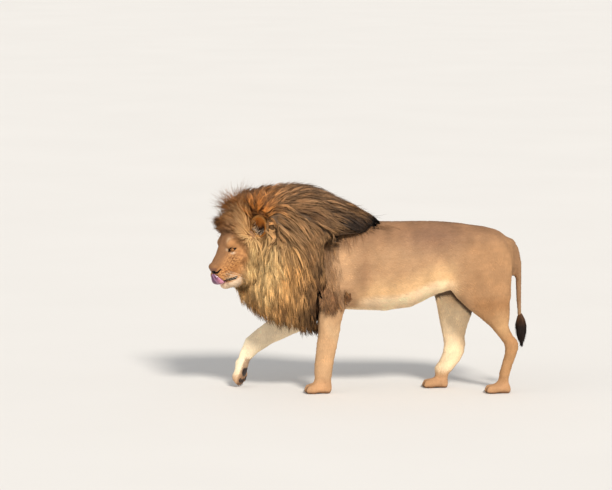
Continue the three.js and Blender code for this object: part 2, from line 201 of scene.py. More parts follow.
# Edge of the flank fold over the far thigh: back and up, in metres.
FLANK_ARCH = [
    (0.40, 0.585), (0.43, 0.596), (0.48, 0.62), (0.535, 0.628), (0.60, 0.565), (0.668, 0.494), (0.72, 0.44),
]
# Muscles and hollows of the body in metres: place, half sizes, outward push.
MUSCLES = {
    "shoulder blade": ((0.17, -0.16, 0.90), (0.10, 0.10, 0.17), 0.012),
    "upper arm": ((0.17, -0.18, 0.70), (0.09, 0.09, 0.12), 0.012),
    "hollow behind the shoulder": ((0.19, 0.01, 0.80), (0.10, 0.050, 0.18), -0.012),
    "rib cage": ((0.20, 0.17, 0.82), (0.12, 0.15, 0.16), 0.006),
    "flank hollow": ((0.18, 0.47, 0.86), (0.10, 0.10, 0.13), -0.020),
    "flank fold": ((0.15, 0.49, 0.66), (0.08, 0.06, 0.07), 0.012),
    "hip": ((0.15, 0.66, 1.01), (0.08, 0.07, 0.06), 0.010),
    "thigh": ((0.17, 0.70, 0.76), (0.10, 0.12, 0.16), 0.014),
    "back of the thigh": ((0.14, 0.88, 0.72), (0.09, 0.05, 0.14), -0.006),
    "belly": ((0.05, 0.16, 0.53), (0.14, 0.20, 0.05), -0.010),
    "rump": ((0.03, 0.83, 1.00), (0.12, 0.11, 0.09), 0.012),
    "loin": ((0.10, 0.42, 1.06), (0.10, 0.18, 0.06), 0.006),
}
# Lie, length and colour of the mane at named places, in metres: place; back and up; length; depth; root and tip colour.
MANE_LIE = {
    "forelock": ((0.05, -0.90, 1.14), (-0.80, 0.60), 0.13, 0.060, "orange", "frost"),
    "temple": ((0.14, -0.84, 1.06), (-0.20, 0.80), 0.09, 0.030, "orange", "band"),
    "crown": ((0.00, -0.74, 1.26), (-0.25, 1.00), 0.15, 0.085, "orange", "smoke"),
    "above the ear": ((0.18, -0.70, 1.16), (0.20, 0.95), 0.13, 0.040, "orange", "frost"),
    "top of the crest": ((0.00, -0.52, 1.30), (0.55, 0.80), 0.17, 0.070, "band", "smoke"),
    "crest": ((0.02, -0.34, 1.27), (0.93, 0.25), 0.20, 0.045, "band", "smoke"),
    "crest side": ((0.14, -0.42, 1.18), (0.95, -0.10), 0.22, 0.035, "brown", "olive"),
    "rear crest": ((0.02, -0.16, 1.22), (0.96, -0.20), 0.22, 0.040, "olive", "brown"),
    "rear crest side": ((0.13, -0.16, 1.12), (0.84, -0.50), 0.22, 0.030, "dark", "dark"),
    "withers": ((0.03, 0.00, 1.10), (0.94, -0.30), 0.18, 0.025, "black", "black"),
    "withers side": ((0.12, -0.04, 1.05), (0.80, -0.60), 0.15, 0.022, "black", "black"),
    "behind the ear": ((0.24, -0.56, 1.08), (0.72, -0.60), 0.20, 0.026, "olive", "olive"),
    "high neck": ((0.23, -0.42, 1.03), (0.62, -0.78), 0.22, 0.026, "olive", "brown"),
    "rear neck": ((0.22, -0.31, 0.96), (0.36, -0.93), 0.20, 0.026, "olive", "dark"),
    "neck": ((0.25, -0.50, 0.88), (0.22, -0.97), 0.24, 0.026, "gold", "gold"),
    "in front of the ear": ((0.24, -0.76, 1.00), (0.10, -0.98), 0.12, 0.024, "blond", "blond"),
    "under the ear": ((0.28, -0.66, 0.92), (0.06, -1.00), 0.20, 0.026, "blond", "blond"),
    "cheek": ((0.28, -0.76, 0.78), (0.04, -1.00), 0.20, 0.026, "blond", "blond"),
    "low cheek": ((0.26, -0.68, 0.70), (0.02, -1.00), 0.22, 0.028, "blond", "gold"),
    "beard": ((0.18, -0.79, 0.62), (0.02, -1.00), 0.15, 0.030, "gold", "olive"),
    "throat": ((0.05, -0.70, 0.56), (0.05, -1.00), 0.20, 0.030, "gold", "brown"),
    "neck front": ((0.24, -0.54, 0.66), (0.08, -1.00), 0.24, 0.028, "gold", "brown"),
    "middle rear": ((0.22, -0.36, 0.80), (0.16, -0.98), 0.22, 0.026, "olive", "brown"),
    "chest": ((0.17, -0.54, 0.50), (0.06, -1.00), 0.20, 0.030, "gold", "olive"),
    "low chest": ((0.05, -0.40, 0.42), (0.14, -1.00), 0.18, 0.030, "olive", "dark"),
    "shoulder front": ((0.20, -0.29, 0.66), (0.26, -0.96), 0.22, 0.024, "brown", "dark"),
    "chest rear": ((0.17, -0.26, 0.56), (0.22, -1.00), 0.20, 0.026, "brown", "dark"),
}
MANE_COLOURS = {
    "blond": (255, 214, 148),
    "gold": (226, 168, 104),
    "band": (152, 114, 80),
    "orange": (176, 106, 46),
    "olive": (140, 106, 72),
    "frost": (154, 102, 58),
    "smoke": (104, 86, 72),
    "brown": (96, 66, 42),
    "dark": (38, 26, 18),
    "black": (15, 11, 9),
}


def linear(r, g, b):
    """Light values of a colour named by its screen values."""
    return tuple((c / 255) ** 2.2 for c in (r, g, b))


# ---------------------------------------------------------------- settings
class LionCoatSettings(bpy.types.PropertyGroup):
    depth: FloatProperty(name="Coat depth", description="Skin to hair tips", default=0.005, unit="LENGTH")
    voxel: FloatProperty(name="Skin step", description="Mesh size of the skin", default=0.0112, unit="LENGTH")
    tuft: FloatProperty(name="Tuft length", description="Short hair of the body", default=0.017, unit="LENGTH")
    tufts: IntProperty(name="Tufts", description="Tufts on the body", default=40000)
    back: FloatVectorProperty(name="Back", description="Upper back", subtype="COLOR", default=linear(140, 104, 76))
    flank: FloatVectorProperty(name="Flank", description="Sides", subtype="COLOR", default=linear(180, 142, 106))
    low: FloatVectorProperty(name="Low flank", description="Low ribs", subtype="COLOR", default=linear(222, 180, 132))
    belly: FloatVectorProperty(name="Belly", description="Underside", subtype="COLOR", default=linear(246, 212, 168))
    leg: FloatVectorProperty(name="Legs", description="Lower legs", subtype="COLOR", default=linear(196, 156, 116))
    seed: IntProperty(name="Seed", description="Start of the scatter", default=7)


class LionManeSettings(bpy.types.PropertyGroup):
    clumps: IntProperty(name="Clumps", description="Bunches of locks", default=3300)
    locks: IntProperty(name="Locks", description="Locks in each bunch", default=8)
    width: FloatProperty(name="Lock width", description="Widest part of a lock", default=0.0046, unit="LENGTH")
    spread: FloatProperty(name="Spread", description="Half width of a bunch", default=0.012, unit="LENGTH")
    inset: FloatProperty(name="Inset", description="Under-mane below the hair tips", default=0.024, unit="LENGTH")


# ---------------------------------------------------------------- numbers
def ease(low, high, value):
    t = np.clip((value - low) / (high - low), 0, 1)
    return t * t * (3 - 2 * t)


def blend(a, b, weight):
    weight = np.asarray(weight)[..., None]
    return a * (1 - weight) + np.asarray(b) * weight


def laid(c, colour, amount, *spans):
    """A screen colour laid over c. Each span is a measure and the two ends between which the colour comes in."""
    for measure, low, high in spans:
        amount = amount * ease(low, high, measure)
    return blend(c, linear(*colour), amount)


def marked(c, points, marks, near=1.0):
    """Soft marks laid over c, one after another."""
    for place, size, colour, amount in marks:
        c = laid(c, colour, amount * hump(points, place, size) * near)
    return c


def unit(v):
    return v / np.maximum(np.linalg.norm(v, axis=-1, keepdims=True), 1e-12)


def hump(points, centre, size):
    """1 at the centre, fading to 0 about two sizes away."""
    return np.exp(-(((points - np.array(centre)) / np.array(size)) ** 2).sum(-1))


def within(p, centre, size):
    """1 close to the centre, fading to 0 outside an ellipsoid of the given size."""
    return ease(1.4, 0.6, np.linalg.norm((p - np.array(centre)) / np.array(size), axis=1))


def turn3(angles):
    x, y, z = (math.radians(a) for a in angles)
    return np.array(Matrix.Rotation(z, 3, "Z") @ Matrix.Rotation(y, 3, "Y") @ Matrix.Rotation(x, 3, "X"))


def into(matrix, points):
    """Points in a part's own axes."""
    m = np.array(matrix.inverted())
    return points @ m[:3, :3].T + m[:3, 3]


def out_of(matrix, points):
    m = np.array(matrix)
    return points @ m[:3, :3].T + m[:3, 3]


def head_local(points):
    """Millimetres out from the middle, back from the nose tip, and up; the two sides alike."""
    local = into(HEAD, points) * 1000
    local[:, 0] = np.abs(local[:, 0])
    return local


def egg(p, centre, size, turn=(0, 0, 0)):
    """Near distance to an ellipsoid, below 0 inside."""
    q = (p - np.array(centre, float)) @ turn3(turn)
    size = np.array(size, float)
    a = np.linalg.norm(q / size, axis=-1)
    b = np.linalg.norm(q / size**2, axis=-1)
    return a * (a - 1) / np.maximum(b, 1e-9)


def rod(p, a, b, ra, rb):
    a, b = np.array(a, float), np.array(b, float)
    t = np.clip(((p - a) @ (b - a)) / ((b - a) @ (b - a)), 0, 1)
    return np.linalg.norm(p - a - t[:, None] * (b - a), axis=-1) - (ra + (rb - ra) * t)


def cord(p, line, widths):
    """Near distance to a line of rods, as thick at each point as its width says."""
    return np.min([rod(p, a, b, ra, rb) for a, b, ra, rb in zip(line, line[1:], widths, widths[1:])], axis=0)


def join(a, b, soft):
    h = np.clip(0.5 + 0.5 * (b - a) / soft, 0, 1)
    return b * (1 - h) + a * h - soft * h * (1 - h)


def carve(a, b, soft):
    return -join(-a, b, soft)


def waves(p, size, seed):
    """Smooth uneven field between about -1 and 1, with waves of the given size."""
    rng = np.random.default_rng(seed)
    total = 0
    for _ in range(7):
        d = unit(rng.normal(size=3)) * 2 * math.pi / (np.array(size) * rng.uniform(0.7, 1.6))
        total = total + np.sin(p @ d + rng.uniform(0, 6.28))
    return total / 3.2


# ---------------------------------------------------------------- forms of head and paws
GAZE = unit(np.array((0.60, -0.79, -0.02)))
EYE_OUT = unit(np.array((0.79, 0.60, -0.04)) - GAZE * (np.array((0.79, 0.60, -0.04)) @ GAZE))
EYE_UP = np.cross(EYE_OUT, GAZE)
EYE_UP = EYE_UP * np.sign(EYE_UP[2])


def eye_axes(p):
    """Out, up and forward from the middle of the eyeball, in millimetres."""
    q = p - EYE
    return np.stack([q @ EYE_OUT, q @ EYE_UP, q @ GAZE], axis=-1)


def eye_opening(p):
    """Below 0 inside the almond between the lids."""
    q = eye_axes(p)
    half_width, half_height, slope = 17.5, 6.6, 1.2
    u = q[:, 0] / half_width
    side = np.abs(q[:, 1] - slope * u) - half_height * np.clip(1 - np.abs(u) ** 1.7, 0, 1)
    return np.maximum(np.maximum(side, np.abs(q[:, 0]) - half_width), 8 - q[:, 2])


def lip_distance(p):
    return cord(p, LIP_LINE, (4.0, 4.4, 5.0, 5.4, 5.6, 6.6, 5.0))


def nostril(p):
    hole = egg(p, (14, 22, -10), (9, 14, 7), (0, 0, 20))
    return np.minimum(hole, cord(p, [(0, 27, -21), (14, 28, -20), (28, 40, -23), (37, 62, -12)], (3.4, 4.4, 4.8, 3.0)))


def head_form(p):
    """Near distance to the surface of the head, in millimetres."""
    f = None
    for centre, size, turn, soft in HEAD_FORMS.values():
        part = egg(p, centre, size, turn)
        f = part if f is None else join(f, part, soft)
    f = join(f, lip_distance(p), 4)
    f = carve(f, rod(p, (0, 24, -26), (0, 24, -90), 3.5, 3.5), 5)
    f = carve(f, egg(p, EYE + (8, -20, -7), (20, 24, 16), (0, 0, 30)), 14)
    f = join(f, np.linalg.norm(p - EYE, axis=-1) - 22.5, 6)
    f = carve(f, eye_opening(p), 1.5)
    return carve(f, nostril(p), 2.5)


def toe_back(toe):
    """Place of a toe's middle as a share of the paw's length: the outer toes stand further back."""
    return 0.235 if abs(toe) < 1 else 0.30


def toe_forms(size):
    """Rounded masses of one paw, as places and half sizes: wrist and palm, then each toe and its tip."""
    length, width, height = size
    forms = [
        ((0, 0.74 * length, 0.54 * height), (0.38 * width, 0.36 * length, 0.60 * height)),
        ((0, 0.46 * length, 0.46 * height), (0.45 * width, 0.30 * length, 0.52 * height)),
    ]
    for toe in TOES:
        x, back = toe * width * TOE_WIDTH, toe_back(toe)
        forms.append(((x, back * length, 0.44 * height), (0.142 * width, 0.20 * length, 0.45 * height)))
        forms.append(((x, (back - 0.12) * length, 0.30 * height), (0.118 * width, 0.115 * length, 0.30 * height)))
    return forms


def paw_form(p, size, standing):
    """Near distance to a paw's surface; a standing paw is flat underneath."""
    f = None
    for i, (centre, half) in enumerate(toe_forms(size)):
        part = egg(p, centre, half)
        f = part if f is None else join(f, part, 0.012 if i < 2 else 0.004)
    return np.maximum(f, 0.0015 - p[:, 2]) if standing else f


# ---------------------------------------------------------------- meshes
def deselect():
    for thing in bpy.context.selected_objects:
        thing.select_set(False)


def make_active(thing):
    deselect()
    thing.select_set(True)
    bpy.context.view_layer.objects.active = thing


def apply_modifier(thing, kind, **settings):
    make_active(thing)
    modifier = thing.modifiers.new(kind, kind)
    for key, value in settings.items():
        setattr(modifier, key, value)
    bpy.ops.object.modifier_apply(modifier=modifier.name)


def linked(name, data):
    """A new object in the scene."""
    thing = bpy.data.objects.new(name, data)
    bpy.context.scene.collection.objects.link(thing)
    return thing


def new_object(name, verts, faces):
    mesh = bpy.data.meshes.new(name)
    mesh.from_pydata(verts, [], faces)
    return linked(name, mesh)


def edit_all(thing, *steps):
    """Runs mesh operators on all of a shape's faces."""
    make_active(thing)
    bpy.ops.object.mode_set(mode="EDIT")
    bpy.ops.mesh.select_all(action="SELECT")
    for step in steps:
        step()
    bpy.ops.object.mode_set(mode="OBJECT")


def new_ball(segments, rings, radius=1):
    deselect()
    bpy.ops.mesh.primitive_uv_sphere_add(segments=segments, ring_count=rings, radius=radius)
    return bpy.context.object


def face_outward(thing):
    """All faces turned to look out of the shape."""
    edit_all(thing, lambda: bpy.ops.mesh.normals_make_consistent(inside=False))


def cad_copy(name, label):
    """A merged copy of a frame node."""
    thing = linked(label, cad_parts[name].data.copy())
    bm = bmesh.new()
    bm.from_mesh(thing.data)
    bmesh.ops.remove_doubles(bm, verts=bm.verts, dist=1e-5)
    bm.to_mesh(thing.data)
    bm.free()
    return thing


def add_egg(matrix, centre, size, turn=(0, 0, 0)):
    """A ball, pressed and turned to an egg at its place."""
    thing = new_ball(28, 16)
    local = Matrix.Translation(centre) @ Matrix(turn3(turn).tolist()).to_4x4() @ Matrix.Diagonal((*size, 1))
    thing.data.transform(matrix @ local)
    if matrix.determinant() < 0:
        thing.data.flip_normals()
    return thing


def join_objects(things, name):
    make_active(things[0])
    for thing in things:
        thing.select_set(True)
    bpy.ops.object.join()
    whole = bpy.context.object
    whole.name = whole.data.name = name
    return whole


def read(items, name, width, kind=np.float32):
    """One value of every item as rows of an array."""
    values = np.empty(len(items) * width, kind)
    items.foreach_get(name, values)
    return values.reshape(-1, width)


def points_of(mesh):
    return read(mesh.vertices, "co", 3).astype(float)


def place_points(mesh, points):
    mesh.vertices.foreach_set("co", np.asarray(points, np.float32).ravel())
    mesh.update()


def normals_of(mesh):
    return read(mesh.vertex_normals, "vector", 3).astype(float)


def edges_of(mesh):
    return read(mesh.edges, "vertices", 2, np.int32)


def triangles_of(mesh):
    mesh.calc_loop_triangles()
    return read(mesh.loop_triangles, "vertices", 3, np.int32)


def neighbour_mean(points, edges):
    a, b = edges.T
    total = [np.bincount(a, p[b], len(points)) + np.bincount(b, p[a], len(points)) for p in points.T]
    count = np.bincount(edges.ravel(), minlength=len(points))[:, None]
    return np.stack(total, axis=-1) / np.maximum(count, 1)


def relax(points, edges, times, amount=0.5, back=0.0):
    """Evens the surface; a back step keeps its volume."""
    amount = np.broadcast_to(np.asarray(amount, float), (len(points),))[:, None]
    for _ in range(times):
        points = points + amount * (neighbour_mean(points, edges) - points)
        if back:
            points = points - back * amount * (neighbour_mean(points, edges) - points)
    return points


def settle(points, form, times, reach):
    """Moves points onto the surface where form is 0."""
    step = reach * 0.02
    for _ in range(times):
        f = form(points)
        g = np.stack([(form(points + np.eye(3)[k] * step) - f) / step for k in range(3)], axis=-1)
        move = f[:, None] * g / np.maximum((g * g).sum(-1, keepdims=True), 0.25)
        size = np.linalg.norm(move, axis=-1, keepdims=True)
        points = points - move * np.minimum(1, reach / np.maximum(size, 1e-9))
    return points


def set_colours(mesh, name, colours):
    layer = mesh.color_attributes.new(name, "FLOAT_COLOR", "POINT")
    rgba = np.ones((len(colours), 4), np.float32)
    rgba[:, :3] = np.clip(colours, 0, 1)
    layer.data.foreach_set("color", rgba.ravel())


def set_value(mesh, name, values):
    layer = mesh.attributes.new(name, "FLOAT", "POINT")
    layer.data.foreach_set("value", np.asarray(values, np.float32))


def smooth_faces(mesh):
    mesh.polygons.foreach_set("use_smooth", np.ones(len(mesh.polygons), bool))


class Surface:
    """Nearest places, normals and unwrapped places on a closed mesh."""

    def __init__(self, mesh):
        self.points = points_of(mesh)
        self.normals = normals_of(mesh)
        self.triangles = triangles_of(mesh)
        self.tree = BVHTree.FromPolygons(self.points.tolist(), self.triangles.tolist())
        corners = self.points[self.triangles]
        self.areas = np.linalg.norm(np.cross(corners[:, 1] - corners[:, 0], corners[:, 2] - corners[:, 0]), axis=1) / 2

    def scatter(self, count, rng, weight=None):
        """Random places, with their smooth normals; weight is by point."""
        share = self.areas if weight is None else self.areas * weight[self.triangles].mean(1)
        pick = rng.choice(len(self.triangles), count, p=share / share.sum())
        a, b = rng.random(count), rng.random(count)
        flip = a + b > 1
        a[flip], b[flip] = 1 - a[flip], 1 - b[flip]
        mix = np.stack([1 - a - b, a, b], axis=-1)[..., None]
        tri = self.triangles[pick]
        return (self.points[tri] * mix).sum(1), unit((self.normals[tri] * mix).sum(1))

    def nearest(self, points):
        hits = [self.tree.find_nearest(p) for p in points.tolist()]
        index = np.array([h[2] for h in hits])
        place = np.array([tuple(h[0]) for h in hits])
        tri = self.triangles[index]
        a, b, c = (self.points[tri[:, k]] for k in range(3))
        whole = np.maximum(np.linalg.norm(np.cross(b - a, c - a), axis=1), 1e-12)
        wa = np.linalg.norm(np.cross(b - place, c - place), axis=1) / whole
        wb = np.linalg.norm(np.cross(a - place, c - place), axis=1) / whole
        mix = np.stack([wa, wb, np.clip(1 - wa - wb, 0, 1)], axis=-1)
        return place, unit((self.normals[tri] * mix[..., None]).sum(1)), index, mix


class Unwrap:
    """A flat map of a shape's own surface, for the places of hair roots."""

    def __init__(self, source, faces):
        thing = linked("unwrap", source.data.copy())
        apply_modifier(thing, "DECIMATE", ratio=min(1, faces / max(1, len(triangles_of(thing.data)))))
        spread = {"angle_limit": math.radians(66), "island_margin": 0.004}
        edit_all(thing, bpy.ops.mesh.quads_convert_to_tris, lambda: bpy.ops.uv.smart_project(**spread))
        mesh = thing.data
        self.surface = Surface(mesh)
        uv = read(mesh.uv_layers.active.data, "uv", 2)
        self.uv = uv[read(mesh.loop_triangles, "loops", 3, np.int32)]
        bpy.data.objects.remove(thing)

    def places(self, points):
        _, _, index, mix = self.surface.nearest(points)
        return (self.uv[index] * mix[..., None]).sum(1)


def strands(path, across, out, width, thick):
    """Tapered solid hairs, three-sided. path, across and out are (hairs, rings + 1, 3); the last ring is the tip."""
    count, rings = path.shape[0], path.shape[1] - 1
    body = path[:, :rings]
    w = width[:, :rings, None] * across[:, :rings]
    t = thick[:, :rings, None] * out[:, :rings]
    ring = np.stack([body - w / 2, body + w / 2, body + t], axis=2)
    verts = np.concatenate([ring.reshape(count, rings * 3, 3), path[:, rings:]], axis=1)
    faces = []
    for r in range(rings - 1):
        for k in range(3):
            a, b = 3 * r + k, 3 * r + (k + 1) % 3
            faces += [(a, b + 3, b), (a, a + 3, b + 3)]
    end = 3 * (rings - 1)
    faces += [(end + k, end + 3, end + (k + 1) % 3) for k in range(3)]
    faces.append((0, 1, 2))
    return verts, np.array(faces)


def blades(path, side, widths, thick):
    """Strands that lie flat on the given side."""
    ahead = tangents(path)
    across = unit(np.cross(ahead, side))
    return strands(path, across, unit(np.cross(across, ahead)), widths, widths * thick)


def along(rings):
    """Steps from root to tip, ready to multiply paths."""
    return np.linspace(0, 1, rings + 1)[None, :, None]


# Hair stays inside these corners, a little over the frame's box.
HAIR_LOW = np.array(CAD_BOX[0]) - (0.022, 0.060, -0.002)
HAIR_HIGH = np.array(CAD_BOX[1]) + (0.022, 0.060, 0.043)


def hair_object(name, verts, faces, colours, roots, out, soft=0.75):
    """One mesh of hairs. Each hair's patch lies at its root's place on the unwrap.

    Shading leans toward the outward direction of the coat, so that a mass of hairs looks soft.
    """
    verts = np.clip(verts, HAIR_LOW, HAIR_HIGH)
    count, per = verts.shape[:2]
    all_faces = (faces[None] + (np.arange(count) * per)[:, None, None]).reshape(-1, 3)
    mesh = bpy.data.meshes.new(name)
    mesh.vertices.add(count * per)
    mesh.vertices.foreach_set("co", verts.astype(np.float32).ravel())
    mesh.loops.add(all_faces.size)
    mesh.loops.foreach_set("vertex_index", all_faces.astype(np.int32).ravel())
    mesh.polygons.add(len(all_faces))
    mesh.polygons.foreach_set("loop_start", np.arange(0, all_faces.size, 3, dtype=np.int32))
    mesh.update(calc_edges=True)
    set_colours(mesh, "coat", colours.reshape(-1, 3))
    rings = (per - 1) // 3
    ring = np.minimum(np.arange(per) // 3, rings)
    side = np.where(np.arange(per) == per - 1, 1, np.arange(per) % 3)
    patch = np.stack([(side - 1) * 0.0012, (ring / rings - 0.5) * 0.003], axis=-1)
    uv = np.clip(roots[:, None, :] + patch[None], 0, 1).reshape(-1, 2)
    layer = mesh.uv_layers.new(name="OFBake")
    layer.data.foreach_set("uv", uv[all_faces.ravel()].astype(np.float32).ravel())
    smooth_faces(mesh)
    mesh.validate()
    own = normals_of(mesh)
    coat_out = np.broadcast_to(out, (count, per, 3)).reshape(-1, 3)
    mesh.normals_split_custom_set_from_vertices(unit(own * (1 - soft) + coat_out * soft).tolist())
    return linked(name, mesh)


def per_vertex(rings):
    """Values of each ring as values of a strand's vertices."""
    return np.concatenate([np.repeat(rings[:, :-1], 3, axis=1), rings[:, -1:]], axis=1)


# ---------------------------------------------------------------- shaders
class Socket:
    """A shader socket that takes part in arithmetic."""

    def __init__(self, tree, socket):
        self.tree, self.socket = tree, socket

    def _math(self, operation, *values):
        return self.tree.node("ShaderNodeMath", {"operation": operation}, dict(enumerate(values)))

    def __add__(self, other):
        return self._math("ADD", self, other)

    def __sub__(self, other):
        return self._math("SUBTRACT", self, other)

    def __mul__(self, other):
        return self._math("MULTIPLY", self, other)

    def __truediv__(self, other):
        return self._math("DIVIDE", self, other)

    __radd__, __rmul__ = __add__, __mul__

    def __rsub__(self, other):
        return self._math("SUBTRACT", other, self)

    def clamp(self, low, high):
        values = {0: self, 1: low, 2: high, 3: 0.0, 4: 1.0}
        return self.tree.node("ShaderNodeMapRange", {"interpolation_type": "SMOOTHSTEP"}, values)


class Shader:
    """A material's tree of nodes."""

    def __init__(self, name):
        self.material = bpy.data.materials.new(name)
        self.material.use_nodes = True
        self.nodes = self.material.node_tree.nodes
        self.links = self.material.node_tree.links
        self.bsdf = self.nodes["Principled BSDF"]

    def node(self, kind, settings=None, values=None, output=0):
        made = self.nodes.new(kind)
        for key, value in (settings or {}).items():
            if key == "stops":
                while len(made.color_ramp.elements) < len(value):
                    made.color_ramp.elements.new(0.5)
                for element, (at, colour) in zip(made.color_ramp.elements, value):
                    element.position, element.color = at, (*colour, 1)
            else:
                setattr(made, key, value)
        for key, value in (values or {}).items():
            if isinstance(value, Socket):
                self.links.new(value.socket, made.inputs[key])
            else:
                made.inputs[key].default_value = value
        return Socket(self, made.outputs[output])

    def point(self):
        return self.node("ShaderNodeTexCoord", output="Object")

    def attribute(self, name, output="Color"):
        return self.node("ShaderNodeAttribute", {"attribute_name": name}, output=output)

    def stretched(self, scale, turn=(0, 0, 0)):
        return self.node("ShaderNodeMapping", {}, {"Vector": self.point(), "Scale": scale, "Rotation": turn})

    def noise(self, vector, scale, detail=2.0):
        return self.node("ShaderNodeTexNoise", {}, {"Vector": vector, "Scale": scale, "Detail": detail})

    def mix(self, a, b, factor, blend_type="MIX"):
        settings = {"data_type": "RGBA", "blend_type": blend_type}
        return self.node("ShaderNodeMix", settings, {0: factor, 6: a, 7: b}, output=2)

    def tint(self, colour, by, factor):
        """Colour, multiplied by another where factor is high."""
        return self.mix(colour, self.mix(colour, (*by, 1), 1.0, "MULTIPLY"), factor)

    def finish(self, **inputs):
        for key, value in inputs.items():
            socket = self.bsdf.inputs[key.replace("_", " ")]
            if isinstance(value, Socket):
                self.links.new(value.socket, socket)
            else:
                socket.default_value = value
        return self.material

    def bump(self, height, strength, distance):
        values = {"Height": height, "Strength": strength, "Distance": distance}
        return self.node("ShaderNodeBump", {}, values, output="Normal")


def skin_material():
    s = Shader("short coat")
    leg = s.attribute("leg lie", "Fac")
    bare = s.attribute("bare", "Fac")
    furred = 1 - bare

    def grain(scale, detail, lengthways, upright):
        """Noise drawn out along the body, or down the leg."""
        body = s.noise(s.stretched(lengthways), scale, detail)
        return body * (1 - leg) + s.noise(s.stretched(upright), scale, detail) * leg

    hair = grain(420.0, 3.0, (1.0, 0.16, 0.9), (1.0, 1.0, 0.16))
    clump = grain(60.0, 2.0, (1.0, 0.30, 0.8), (1.0, 1.0, 0.30))
    broad = s.noise(s.point(), 9.0, 3.0)
    colour = s.tint(s.attribute("coat"), (0.84, 0.79, 0.74), (1 - hair).clamp(0.35, 0.75) * furred)
    colour = s.tint(colour, (1.12, 1.11, 1.09), broad.clamp(0.42, 0.72))
    colour = s.tint(colour, (0.94, 0.92, 0.90), (1 - clump).clamp(0.35, 0.80) * furred)
    pebbles = s.node("ShaderNodeTexVoronoi", {}, {"Vector": s.point(), "Scale": 520.0})
    height = (hair * 0.7 + clump * 0.35) * furred + pebbles * bare * 0.25
    rough = 0.78 - bare * 0.36 + hair * 0.08
    return s.finish(Base_Color=colour, Roughness=rough, Normal=s.bump(height, 0.40, 0.0014), Specular_IOR_Level=0.28)


def hair_material(name, scale, rough, contrast):
    s = Shader(name)
    fine = s.noise(s.point(), scale, 2.0)
    broad = s.noise(s.point(), 16.0, 2.0)
    colour = s.tint(s.attribute("coat"), (0.66, 0.60, 0.54), (1 - fine).clamp(0.40, 0.70) * contrast)
    colour = s.tint(colour, (1.22, 1.18, 1.12), broad.clamp(0.48, 0.70))
    rough = rough + fine * 0.12
    return s.finish(Base_Color=colour, Roughness=rough, Normal=s.bump(fine, 0.25, 0.0008), Specular_IOR_Level=0.22)


def eye_material(centre, gaze):
    s = Shader("eye")
    offset = s.node("ShaderNodeVectorMath", {"operation": "SUBTRACT"}, {0: s.point(), 1: centre})
    ahead = s.node("ShaderNodeVectorMath", {"operation": "DOT_PRODUCT"}, {0: offset, 1: gaze}, output="Value")
    size = s.node("ShaderNodeVectorMath", {"operation": "LENGTH"}, {0: offset}, output="Value")
    # from the white, through the dark rim and the amber iris, to the pupil
    stops = [
        (0.0, linear(60, 44, 34)),
        (0.72, linear(70, 50, 34)),
        (0.80, linear(24, 14, 8)),
        (0.835, linear(168, 98, 26)),
        (0.90, linear(214, 142, 44)),
        (0.965, linear(190, 116, 34)),
        (0.978, linear(12, 8, 6)),
        (1.0, linear(6, 5, 5)),
    ]
    iris = s.node("ShaderNodeValToRGB", {"stops": stops}, {"Fac": ahead / size})
    flecks = s.noise(s.point(), 900.0, 3.0)
    colour = s.tint(iris, (0.55, 0.42, 0.30), flecks.clamp(0.42, 0.68))
    return s.finish(Base_Color=colour, Roughness=0.18 + flecks * 0.06, Coat_Weight=1.0, Coat_Roughness=0.03)


def tongue_material():
    s = Shader("tongue")
    bumps = s.node("ShaderNodeTexVoronoi", {}, {"Vector": s.point(), "Scale": 420.0})
    broad = s.noise(s.point(), 60.0, 3.0)
    colour = s.tint(s.attribute("coat"), (0.70, 0.58, 0.66), broad.clamp(0.4, 0.7))
    colour = s.mix(s.mix(colour, (1.25, 1.15, 1.18, 1), 1.0, "MULTIPLY"), colour, bumps.clamp(0.0, 0.5))
    normal = s.bump(1 - bumps, 0.5, 0.0012)
    return s.finish(Base_Color=colour, Roughness=0.30 + broad * 0.15, Coat_Weight=0.35, Normal=normal)


def horn_material(name, dark, light, rough):
    s = Shader(name)
    grain = s.noise(s.stretched((1.0, 1.0, 0.25)), 260.0, 3.0)
    colour = s.mix((*dark, 1), (*light, 1), grain.clamp(0.35, 0.68))
    return s.finish(Base_Color=colour, Roughness=rough + grain * 0.15, Normal=s.bump(grain, 0.35, 0.0006))


def floor_material():
    s = Shader("studio floor")
    cloud = s.noise(s.point(), 0.6, 3.0)
    colour = s.mix((0.70, 0.675, 0.64, 1), (0.74, 0.715, 0.68, 1), cloud)
    return s.finish(Base_Color=colour, Roughness=0.9)


